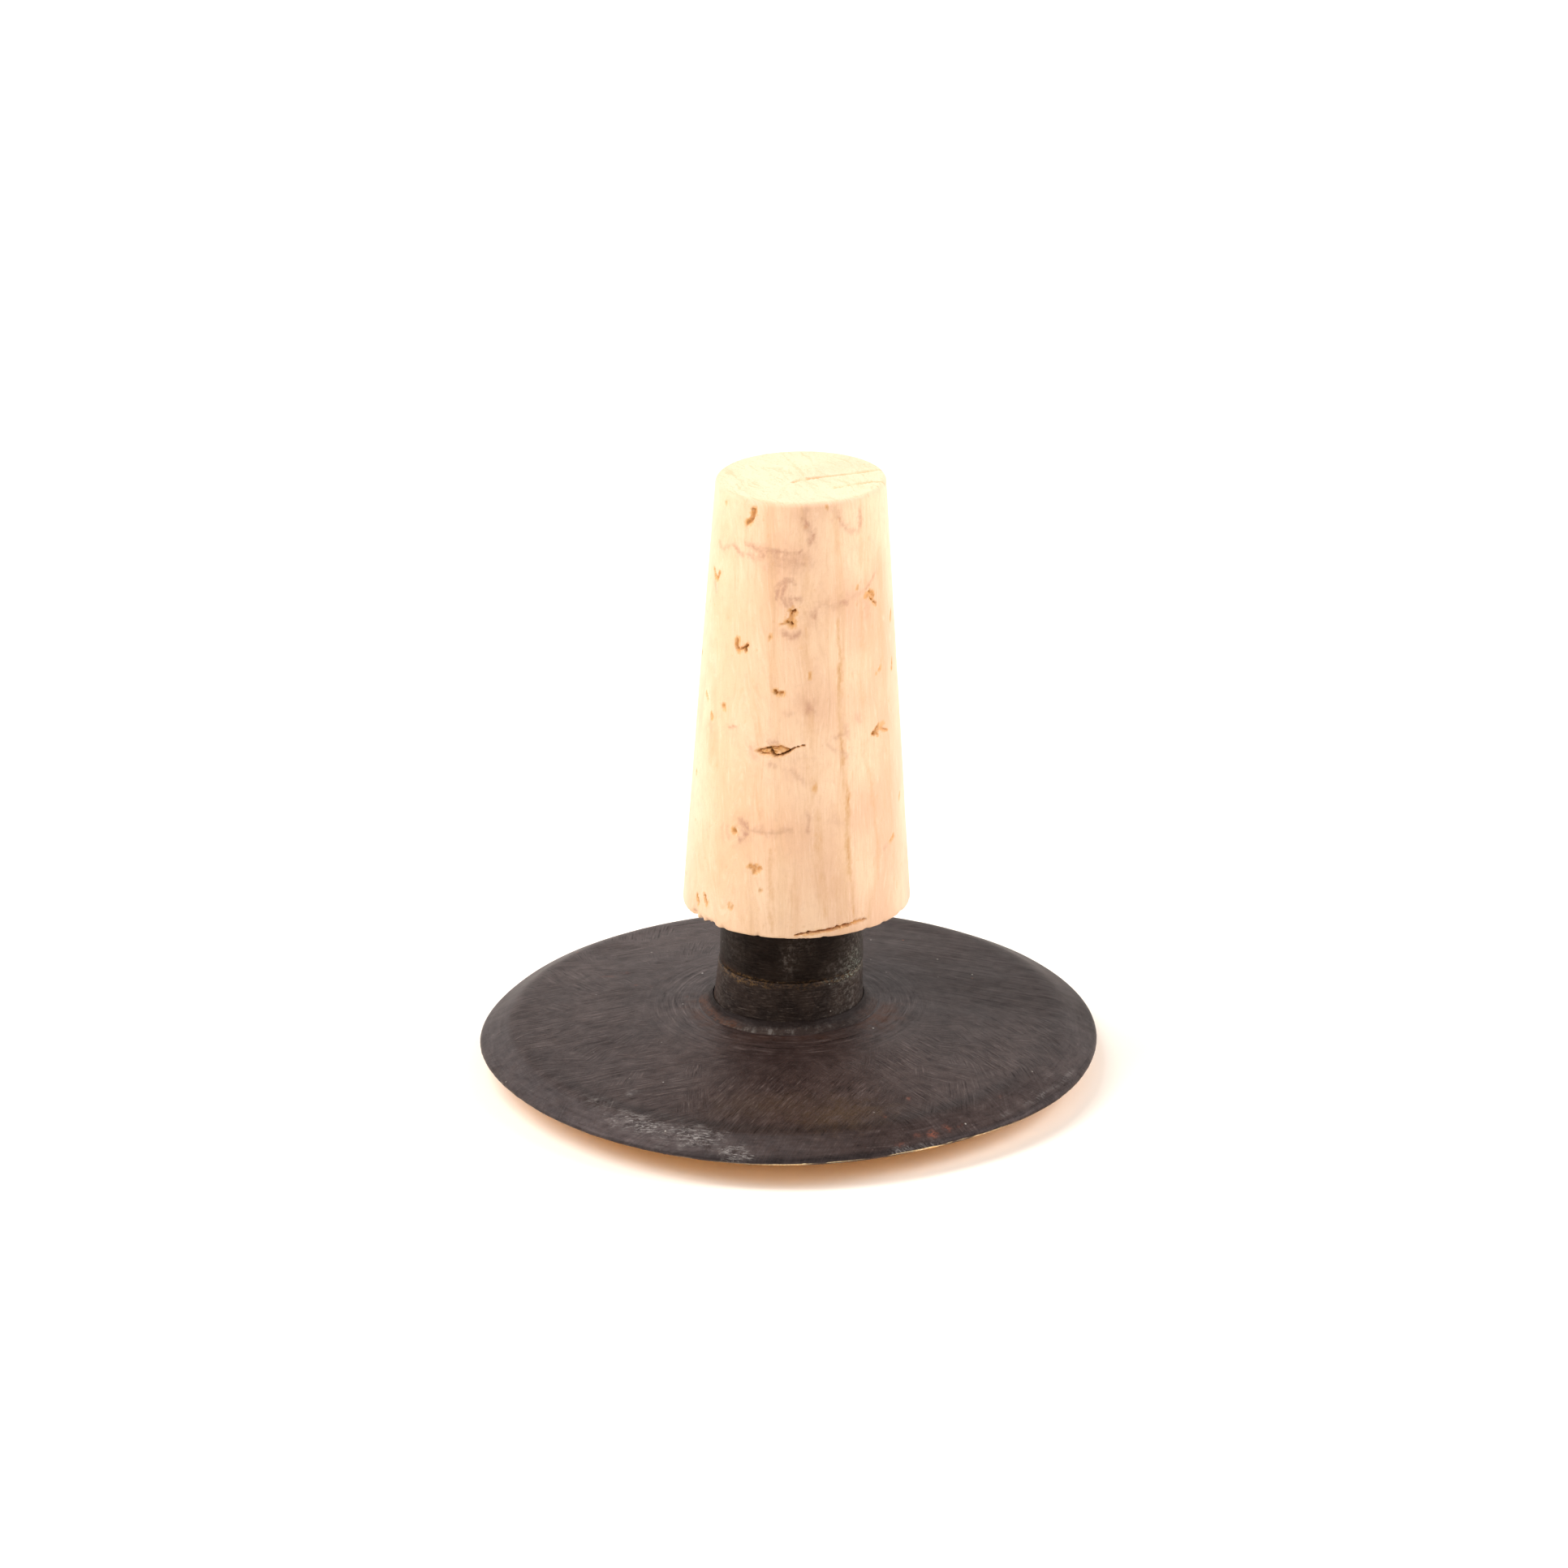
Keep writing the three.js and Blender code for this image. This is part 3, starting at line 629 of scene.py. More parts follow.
def cork_rows():
    """Rows of (kind, radius, z, centre x), up the bore, out over the base, up the side, over."""
    bore_r, mouth_r, arris = 3.20, 3.34, 0.50

    def density(z):
        d = np.full(z.shape, 1.0)
        for height, spread, extra in ROW_FOCUS:
            d = d + extra * bell(z - WIDE_Z, height, spread)
        return d

    rows = [("pole", 0.0, BOLT_Z1 + 0.30, BOLT_X), ("bore", 0.90, BOLT_Z1 + 0.16, BOLT_X),
            ("bore", bore_r, 36.3, BOLT_X)]
    rows += [("bore", bore_r, z, BOLT_X) for z in np.linspace(33.0, WIDE_Z + 0.35, 3)]
    rows.append(("bore", bore_r + 0.05, WIDE_Z + 0.08, BOLT_X))
    for r in [mouth_r, *np.linspace(4.4, WIDE_R - 0.42, 9), WIDE_R - 0.22, WIDE_R - 0.10]:
        share = (r - mouth_r) / (WIDE_R - mouth_r)
        rows.append(("base", r, WIDE_Z, BOLT_X + (WIDE_X - BOLT_X) * share))
    rows.append(("side", WIDE_R - 0.02, WIDE_Z + 0.05, WIDE_X))
    arris_z = NARROW_Z - arris
    for z in graded(WIDE_Z + 0.16, arris_z, 208, density):
        rows.append(("side", cork_radius(z), z, cork_centre(z)))
    for degrees in (22, 45, 68, 90):
        t = math.radians(degrees)
        r = cork_radius(arris_z) - arris * (1 - math.cos(t)) * 0.96
        rows.append(("arris", r, arris_z + arris * math.sin(t), NARROW_X))
    for r in [*np.linspace(NARROW_R - arris - 0.22, 1.0, 24), 0.5]:
        rows.append(("top", r, NARROW_Z, NARROW_X))
    rows.append(("pole", 0.0, NARROW_Z, NARROW_X))
    return rows


def to_segment(u, v, start, end):
    """Distance to a straight segment, and how far along it the nearest point is, 0..1."""
    (u0, v0), (u1, v1) = start, end
    du, dv = u1 - u0, v1 - v0
    t = np.clip(((u - u0) * du + (v - v0) * dv) / (du * du + dv * dv + 1e-9), 0, 1)
    return np.hypot(u - (u0 + t * du), v - (v0 + t * dv)), t


class CorkGrid:
    """The cork's points by row and column, with how deep and how stained each one is."""

    def __init__(self, column_count):
        rows = cork_rows()
        self.kind = np.array([row[0] for row in rows])[:, None]
        self.radius, self.z, self.centre_x = (
            np.repeat(np.array([row[k] for row in rows], float)[:, None], column_count, 1)
            for k in (1, 2, 3)
        )
        self.angle = np.repeat(cork_columns(column_count)[None, :], len(rows), 0)
        self.phi = np.radians(self.angle)
        self.height = self.z - WIDE_Z
        self.side = np.isin(self.kind, ("side", "arris"))
        self.top = np.isin(self.kind, ("top", "arris"))
        self.x = self.centre_x + self.radius * np.sin(self.phi)
        self.y = -self.radius * np.cos(self.phi)
        # depth is how far a point moves in; the rest are paint masks
        names = ("depth", "pit", "amber", "smudge", "grain")
        self.marks = {name: np.zeros(self.z.shape) for name in names}

    def lay(self, **marks):
        for name, values in marks.items():
            np.maximum(self.marks[name], values, out=self.marks[name])

    def stroke(self, points, half, seed, wobble=0.30, taper=True):
        """How deep each point sits in a stroke on the side: 1 along its middle, 0 outside."""
        reach = half * 2.5 + 0.3
        angles = np.array([p[0] for p in points])
        heights = np.array([p[1] for p in points])
        per_degree = mm_per_degree(float(heights.mean()))
        pad = reach / per_degree
        box = (self.angle > angles.min() - pad) & (self.angle < angles.max() + pad) & self.side
        box &= (self.height > heights.min() - reach) & (self.height < heights.max() + reach)
        out = np.zeros(self.angle.shape)
        if not box.any():
            return out
        u = self.angle[box] * per_degree
        v = self.height[box]
        coarse = fbm(u * 2.6 + seed, v * 2.6, seed * 3.1, 2, 40 + seed)
        fine = fbm(u * 7.0 + seed, v * 7.0, seed * 1.7, 2, 90 + seed)
        stops = list(zip(angles * per_degree, heights))
        lengths = [math.dist(a, b) for a, b in zip(stops[:-1], stops[1:])]
        total = max(sum(lengths), 1e-6)
        nearest = np.full(u.shape, 9.0)
        along = np.zeros(u.shape)
        run = 0.0
        for start, end, length in zip(stops[:-1], stops[1:], lengths):
            distance, t = to_segment(u, v, start, end)
            along = np.where(distance < nearest, (run + t * length) / total, along)
            nearest = np.minimum(nearest, distance)
            run += length
        width = half * (1 + wobble * coarse * 1.6 + 0.22 * fine)
        if taper and total > half * 5:
            width = width * (0.55 + 0.45 * smooth(0, 0.18, along) * smooth(0, 0.18, 1 - along))
        out[box] = np.clip(1 - nearest / np.maximum(width, 1e-3), 0, 1)
        return out


def mark_pits(c):
    for k, (points, half, deep, dark) in enumerate(PITS):
        s = c.stroke(points, half, 3 + k, 0.45)
        halo = c.stroke(points, half * 1.6 + 0.12, 3 + k, 0.55)
        c.lay(depth=0.62 * deep * smooth(0.0, 0.55, s),
              pit=smooth(0.05, 0.55, s) * dark * 0.8,
              amber=smooth(0.05, 0.60, halo) * min(1.0, 0.60 + deep))


def mark_lens(c):
    """The lens-shaped scar with a ragged, ribbed bed, a cut rim and a small island."""
    per_degree = mm_per_degree(20.1)
    box = (c.angle > -29) & (c.angle < 8) & (c.height > 18.4) & (c.height < 22.2) & c.side
    u, v = c.angle[box] * per_degree, c.height[box]
    jitter = fbm(u * 2.2, v * 3.5, 0.3, 2, 55)
    inside = np.zeros(u.shape, bool)
    distance = np.full(u.shape, 9.0)
    outline = [(angle * per_degree, height) for angle, height in LENS]
    for start, end in zip(outline, outline[1:] + outline[:1]):
        (u0, v0), (u1, v1) = start, end
        crossing = (v0 > v) != (v1 > v)
        inside ^= crossing & (u < (u1 - u0) * (v - v0) / ((v1 - v0) + 1e-12) + u0)
        distance = np.minimum(distance, to_segment(u, v, start, end)[0])
    inward = np.where(inside, distance, -distance) + 0.05 + 0.09 * jitter
    bed = smooth(0.0, 0.16, inward)
    ribs = 0.5 + 0.5 * np.sin(u * 9.0 + 3.0 * fbm(u * 1.4, v * 2.0, 2.0, 2, 61) + v * 5.0)
    left = smooth(-9.5 * per_degree, -20 * per_degree, u)
    rim_cut = bell(inward, 0.10, 0.07)
    island = bell(u, -10.6 * per_degree, 0.34) * bell(v, 19.88, 0.24)
    splinter = smooth(0.05, 0.40, fbm(u * 1.1, v * 9.0, 4.0, 3, 62))
    dark_bed = bed * (0.10 + 0.30 * ribs * (1 - left) + 0.55 * splinter)
    dark = np.clip(0.72 * rim_cut * smooth(-0.3, 0.2, jitter) + dark_bed, 0, 1)
    lens = {
        "depth": (bed * (0.12 + 0.10 * ribs) + 0.22 * rim_cut) * (1 - 0.8 * island),
        "pit": dark * (1 - 0.85 * island),
        "amber": smooth(-0.22, 0.10, inward + 0.10 * jitter) * (1 - 0.5 * island),
    }
    for name, values in lens.items():
        spread = np.zeros(c.z.shape)
        spread[box] = values
        c.lay(**{name: spread})

    for k, (points, half, deep) in enumerate(LENS_CRACK):
        s = c.stroke(points, half, 70 + k, 0.25)
        halo = c.stroke(points, half * 1.8 + 0.04, 70 + k, 0.25)
        gaps = smooth(-0.75, -0.2, fbm(c.angle * 0.9, c.height * 4, 0.6, 2, 64))
        c.lay(depth=0.8 * deep * smooth(0.0, 0.5, s),
              pit=0.85 * smooth(0.05, 0.6, s) * gaps,
              amber=0.7 * smooth(0.0, 0.6, halo))


def mark_lip(c):
    """The split just above the wide end, under which a thin lip hangs on."""
    s = c.stroke(LIP, 0.13, 81, 0.75)
    halo = c.stroke([(angle, height - 0.05) for angle, height in LIP], 0.34, 82, 0.45)
    gaps = 0.35 + 0.65 * smooth(-0.35, 0.05, fbm(c.angle * 0.45, c.height * 3, 0.2, 2, 84))
    c.lay(depth=0.70 * smooth(0.0, 0.5, s),
          pit=0.9 * smooth(0.05, 0.65, s) * gaps,
          amber=0.80 * smooth(0.0, 0.6, halo))
    s = c.stroke(LIP_END, 0.22, 83, 0.45)
    c.lay(depth=0.28 * smooth(0.0, 0.5, s),
          pit=0.40 * smooth(0.3, 1.0, s),
          amber=smooth(0.0, 0.6, s))


def mark_sides_and_back(c):
    """Random marks of the same kinds, away from the front."""
    rng = np.random.default_rng(20)

    def random_angle(low, high):
        angle = rng.uniform(low, high)
        return angle - 360 if angle > 180 else angle

    for k in range(46):
        angle = random_angle(82, 278)
        height = rng.uniform(0.8, 45.0)
        flat = abs(math.sin(math.radians(angle)))  # 1 at left and right, where scars show end on
        half = rng.choice([0.10, 0.13, 0.17, 0.22], p=[0.4, 0.3, 0.2, 0.1])
        length = rng.uniform(0.2, 0.9) * (1 + 2.2 * (1 - flat) * rng.random())
        tilt = rng.normal(0, 0.35) if flat < 0.75 else rng.uniform(0, math.pi)
        per_degree = mm_per_degree(height)
        half_turn = math.cos(tilt) * length / per_degree / 2
        half_rise = math.sin(tilt) * length / 2
        middle = (angle + rng.normal(0, 0.10) / per_degree, height + rng.normal(0, 0.12))
        points = [(angle - half_turn, height - half_rise), middle,
                  (angle + half_turn, height + half_rise)]
        deep = 0.12 + 1.2 * half
        s = c.stroke(points, half, 200 + k)
        halo = c.stroke(points, half * 1.9 + 0.07, 200 + k)
        c.lay(depth=deep * smooth(0.0, 0.42, s),
              pit=smooth(0.10, 0.85, s) * min(0.85, deep / 0.45),
              amber=smooth(0.05, 0.75, halo) * min(1.0, 0.45 + deep))
        if rng.random() < 0.4:
            points = [(angle + (0.55 / per_degree) * math.cos(t), height + 0.55 * math.sin(t))
                      for t in np.linspace(0.4, 4.6, 8)]
            c.lay(smudge=0.45 * smooth(0.0, 0.8, c.stroke(points, 0.16, 300 + k)))

    for k in range(16):
        angle = random_angle(80, 280)
        height = rng.uniform(2, 40)
        length = rng.uniform(4, 14)
        points = [(angle + rng.normal(0, 1.5), height),
                  (angle + rng.normal(0, 2.0), height + length / 2),
                  (angle + rng.normal(0, 2.0), min(45.5, height + length))]
        s = c.stroke(points, rng.uniform(0.14, 0.34), 400 + k, 0.4)
        c.lay(grain=rng.uniform(0.25, 0.6) * smooth(0.0, 0.9, s))

    for k in range(12):
        points = [(random_angle(85, 275), rng.uniform(3, 44))]
        for _ in range(4):
            angle, height = points[-1]
            points.append((angle + rng.uniform(1.5, 5), height + rng.normal(0, 0.35)))
        c.lay(smudge=0.45 * smooth(0.0, 0.9, c.stroke(points, 0.2, 500 + k, 0.4)))


def mark_smudges_and_grain(c):
    for k, (points, half, power) in enumerate(SMUDGES):
        s = c.stroke(points, half * 2.4 + 0.14, 120 + k, 0.60)
        c.lay(smudge=min(1.0, power * 1.55) * smooth(0.0, 1.0, s))
        s = c.stroke(points, half * 5.0 + 0.5, 160 + k, 0.60)
        c.lay(smudge=0.30 * power * smooth(0.0, 1.0, s))
    for k, (points, half, power) in enumerate(GRAIN):
        s = c.stroke(points, half * 2.6 + 0.16, 600 + k, 0.45)
        c.lay(grain=power * smooth(0.0, 1.0, s))
        if power > 0.9:  # the strongest line has a broken core
            s = c.stroke(points, half * 1.25, 650 + k, 0.9, taper=False)
            gaps = smooth(-0.15, 0.25, fbm(c.angle * 0.7, c.height * 2.6, 0.4, 2, 655))
            c.lay(grain=1.45 * smooth(0.0, 1.0, s) * (0.35 + 0.65 * gaps))


def mark_top(c):
    x, y = c.x - NARROW_X, c.y
    for k, (points, half, deep, power) in enumerate(TOP_MARKS):
        nearest = np.full(x.shape, 9.0)
        for start, end in zip(points[:-1], points[1:]):
            nearest = np.minimum(nearest, to_segment(x, y, start, end)[0])
        width = half * (1 + 0.55 * fbm(x * 1.3, y * 1.3, k + 0.5, 2, 700 + k))
        s = np.where(c.top, np.clip(1 - nearest / width, 0, 1), 0)
        if deep > 0.1:
            broken = 0.45 + 0.55 * smooth(-0.25, 0.25, fbm(x * 0.9, y * 0.9, 3.3, 2, 720 + k))
            c.lay(depth=deep * smooth(0, 0.6, s) * broken,
                  amber=power * smooth(0.0, 0.7, s) * broken,
                  pit=0.35 * power * smooth(0.35, 1.0, s) * broken)
        else:
            c.lay(depth=deep * s, grain=power * smooth(0.0, 0.9, s))


def build_cork():
    c = CorkGrid(column_count=390)
    for mark in (mark_pits, mark_lens, mark_lip, mark_sides_and_back, mark_smudges_and_grain,
                 mark_top):
        mark(c)
    x, y, z = c.x, c.y, c.z
    pores = smooth(0.80, 0.93, noise(x / 0.42, y / 0.42, z / 0.55, 33)) * (c.side | c.top)
    c.lay(depth=0.05 * pores, amber=0.20 * pores)

    # chips and a ragged line along the wide end's edge
    is_side, is_base, is_top = (c.kind == kind for kind in ("side", "base", "top"))
    low = (is_side | is_base) & (c.height < 1.6) & (c.radius > WIDE_R - 1.2)
    chip = np.zeros(z.shape)
    for angle, height, width, deep in CHIPS:
        offset = (c.angle - angle) * math.radians(1) * WIDE_R
        chip = np.maximum(chip, deep * bell(offset, 0, width) * bell(c.height, height, 0.36))
    chip = np.where(low, chip, 0)
    ragged = np.clip(fbm(c.phi * 26, 0, 0.5, 3, 77), -0.4, 1) * 0.075 * bell(c.height, 0, 0.25)
    ragged = np.where(low, ragged, 0)
    c.lay(amber=smooth(0.12, 0.40, chip) * 0.30)

    # out of round by a few hundredths, with a fine cork surface
    swell = 0.05 * fbm(x / 9, y / 9, z / 16, 2, 3) + 0.018 * fbm(x / 1.6, y / 1.6, z / 2.4, 2, 5)
    tooth = 0.007 * fbm(x / 0.35, y / 0.35, z / 0.45, 2, 7)
    depth = c.marks.pop("depth")
    radius = c.radius + np.where(c.side | is_base, swell * (c.radius > 5), 0) - chip
    radius = radius + np.where(c.side, tooth - depth - np.abs(ragged) * 0.8, 0)
    top_swell = 0.02 * fbm(x / 2.5, y / 2.5, 0.2, 2, 9) + 0.008 * fbm(x / 0.4, y / 0.4, 0, 2, 10)
    edge = (is_base & (c.radius > WIDE_R - 0.5)) | (is_side & (c.height < 0.3))
    z = z + np.where(is_top, top_swell - depth, 0)
    z = z + np.where(edge, np.maximum(ragged, 0) * 1.1 + chip * 0.65, 0)
    return surface("cork_body", ring(c.phi, radius, z, c.centre_x), c.marks)


def cork_material():
    m = Nodes("natural_cork")
    p = m.mm
    x, y, z = m.xyz(p)
    # growth rings stand on edge; across runs through them
    warp = m.noise(m.place(p, (0.20, 0.20, 0.030)), rough=0.55)
    small_warp = m.noise(m.place(p, (0.9, 0.9, 0.16)))
    across = m.add(m.add(m.mul(x, 0.93), m.mul(y, 0.38)),
                   m.add(m.mul(warp, 4.0), m.mul(small_warp, 0.55)))
    broad = m.noise(m.vec(across, m.mul(z, 0.015), 0.3), scale=0.42, rough=0.55)
    lines = m.noise(m.vec(across, m.mul(z, 0.03), 0.0), scale=1.05, detail=3, rough=0.6)
    fibre = m.noise(m.vec(m.mul(across, 5.5), m.mul(z, 0.42), m.mul(y, 0.4)), detail=3, rough=0.62)
    cloud = m.noise(m.place(p, (0.13, 0.13, 0.09)))
    mottle = m.noise(m.place(p, (1.5, 1.5, 1.1)), detail=3, rough=0.62)
    grit = m.noise(p, scale=6.0, detail=3, rough=0.68)
    # painted light: the base colour is lighter on the left, where the key light falls, and darker to the
    # right
    base = m.mix(m.fade(x, -3.0, 5.0), srgb(234, 191, 155), srgb(222, 181, 149))
    base = m.mix(m.fade(cloud, 0.36, 0.66), base, srgb(236, 201, 167))
    base = m.tints(base, [
        (broad, 0.48, 0.70, 0.50, (217, 178, 138)),
        (lines, 0.54, 0.70, 0.28, (206, 163, 124)),
        (fibre, 0.50, 0.72, 0.26, (208, 165, 126)),
        (fibre, 0.48, 0.28, 0.22, (249, 226, 198)),
        (mottle, 0.48, 0.70, 0.22, (214, 174, 146)),
        (grit, 0.56, 0.72, 0.22, (196, 152, 118)),
    ])
    # painted sheen: a paler colour where the surface turns away from view
    graze = m.node("LayerWeight")
    graze.inputs["Blend"].default_value = 0.5
    painted_sheen = m.fade(graze.outputs["Facing"], 0.45, 0.90, high=0.28)
    base = m.mix(painted_sheen, base, srgb(244, 222, 202))
    # the cut end is plainer and a little darker
    normal_z = m.xyz(m.node("NewGeometry").outputs["Normal"])[2]
    end = m.mul(m.fade(normal_z, 0.75, 0.95), m.fade(z, 60.0, 62.0))
    base = m.tint(base, end, 0.34, (222, 200, 164))
    end_grain = m.noise(m.vec(m.mul(across, 1.6), m.mul(y, 0.25), 3.0), detail=4, rough=0.7)
    base = m.tint(base, m.mul(end, m.fade(end_grain, 0.50, 0.66)), 0.42, (200, 166, 122))
    base = m.tint(base, m.mul(end, m.fade(grit, 0.52, 0.66)), 0.45, (196, 164, 124))
    # marks laid down by point, broken up by fine noise
    smudge_noise = m.noise(p, scale=1.7, detail=4, rough=0.68)
    grain_noise = m.noise(m.vec(m.mul(x, 4.0), m.mul(y, 4.0), m.mul(z, 1.7)), detail=4, rough=0.72)
    breaks = m.noise(m.vec(m.mul(x, 0.3), m.mul(y, 0.3), m.mul(z, 0.24)), detail=3, rough=0.62)
    grain = m.mul(m.attr("grain"), m.linear(grain_noise, 0.34, 0.62, low=0.50, high=1.15))
    grain = m.mul(grain, m.fade(breaks, 0.40, 0.60, low=0.42, high=1.10))
    base = m.tint(base, grain, 0.64, (200, 148, 95))
    smudge = m.mul(m.attr("smudge"), m.linear(smudge_noise, 0.36, 0.62, low=0.55, high=1.15))
    base = m.tint(base, smudge, 0.76, (184, 135, 110))
    amber_noise = m.noise(p, scale=4.5, rough=0.6)
    amber = m.mul(m.attr("amber"), m.linear(amber_noise, 0.25, 0.65, low=0.55, high=1.05))
    base = m.tint(base, amber, 0.90, (210, 152, 86))
    # pits: (start, full, strength, colour on the side, colour on the cut end)
    for start, full, strength, side_rgb, end_rgb in (
        (0.10, 0.60, 0.80, (168, 112, 56), (170, 132, 52)),
        (0.48, 0.95, 0.92, (66, 42, 22), (112, 80, 30)),
    ):
        colour = m.mix(end, srgb(*side_rgb), srgb(*end_rgb))
        base = m.mix(m.fade(m.attr("pit"), start, full, high=strength), base, colour)
    m.set(Base_Color=base, Roughness=0.82, Specular_IOR_Level=0.12)
    coarse = m.noise(p, scale=2.2, detail=4, rough=0.65)
    height = m.add(m.mul(coarse, 0.6), m.mul(grit, 0.4))
    m.set(Normal=m.bump(height, distance=0.00008, strength=0.5))
    return m.material


# ------------------------------------------------------------ the knob disc

# how far the rim strays from a circle, in mm: (cosine, sine) for 1, 2, 3... waves a turn
RIM_WAVES = [
    (-0.021, 0.166), (0.159, -0.051), (-0.035, 0.078), (0.151, -0.056), (0.067, -0.082),
    (0.026, -0.042), (0.015, 0.041), (0.044, 0.014), (-0.006, 0.004),
]
# (r, z) of the socket, the seat round it, the top down to the rolled rim, and the edge
DISC_SOCKET = [
    (0.0, 3.0), (4.9, 3.0), (5.0, 3.1), (5.0, SEAT_Z - 0.15), (5.15, SEAT_Z), (9.6, SEAT_Z),
]
DISC_TOP = [
    (9.6, SEAT_Z), (10.4, 6.61), (13.5, 6.33), (18, 5.93), (23, 5.43), (26.2, 5.07), (27.9, 4.87),
    (29, 4.66), (29.9, 4.35), (30.85, 3.9), (31.6, 3.53), (32.18, 3.22),
]
DISC_EDGE = [(32.34, 3.08), (32.43, 2.97), (32.48, 2.86), (32.5, 2.79), (32.475, 2.735), (32.43, 2.7)]
# patches on the top: (mask, first seed, value where full,
#                      [(x, y, half length, half width, turn in degrees, strength)])
DISC_PATCHES = [
    ("copper", 0, 0.8, [
        (14.5, -27.9, 0.9, 0.75, 20, 1.0), (16.05, -26.7, 0.5, 0.8, 60, 0.8),
        (12.2, -22.2, 0.28, 0.5, 20, 1.0), (12.9, -28.3, 0.5, 0.35, 0, 0.5),
        (11.2, -29.7, 0.7, 0.35, 10, 0.45), (17.4, -26, 0.3, 0.3, 0, 0.5),
        (-16.2, 5.6, 0.35, 0.3, 0, 0.55), (-14.6, 4.9, 0.3, 0.25, 0, 0.35),
        (-19.2, 9, 1.1, 0.4, -8, 0.3), (-17.4, 9.6, 0.5, 0.3, 0, 0.28),
        (-10.8, 1.2, 0.3, 0.3, 0, 0.45), (21.5, -20.4, 0.3, 0.25, 0, 0.35),
        (9.7, -26, 0.25, 0.25, 0, 0.5), (-8.8, -18, 0.2, 0.2, 0, 0.4),
    ]),
    ("scuff", 20, 0.9, [
        (-14.8, -26, 6, 1.7, -30, 0.75), (-9.5, -28.8, 4.5, 1.8, -18, 0.8),
        (-5.6, -31.1, 2.6, 1.2, -12, 0.85), (-4, -31.7, 0.6, 0.4, 10, 1.0),
        (-19.5, -21.5, 3, 1.2, -40, 0.35), (-16.2, -20.4, 1.2, 0.8, 40, 0.6),
        (14, -29.2, 2.6, 0.8, 26, 0.35), (11, -30.4, 2, 0.6, 18, 0.5),
    ]),
    ("olive", 41, 1.0, [(5.2, -25.5, 6.5, 4.2, 15, 0.9), (-1.5, -24, 9, 3.5, 0, 0.5)]),
    ("stain", 43, 1.0, [(-8.6, -3.2, 2.4, 5.2, 12, 0.9)]),
    ("stain", 44, 0.8, [(9.2, -4.4, 3.2, 4.6, -32, 1.0)]),
    ("stain", 45, 1.0, [(0, -9.6, 8, 1.6, 0, 0.35)]),
]


def disc_profile():
    """The disc's (r, z) outline from the socket's middle, over the rim, to the underside's."""
    end_r, end_z = DISC_R - 0.10, RIM_Z - 0.03
    hollow = (end_r ** 2 - LAND_R ** 2) / end_z
    under = np.concatenate([np.linspace(32.30, 25.0, 16), np.linspace(24.0, LAND_R + 0.25, 18)])
    return np.array(
        resample(DISC_SOCKET, 1.2) + spline(DISC_TOP, 84)[1:] + DISC_EDGE
        + [(r, (r * r - LAND_R * LAND_R) / hollow) for r in under]
        + [(LAND_R, 0.0), (LAND_R - 0.4, 0.0), (3.5, 0.0), (0.0, 0.0)]
    )


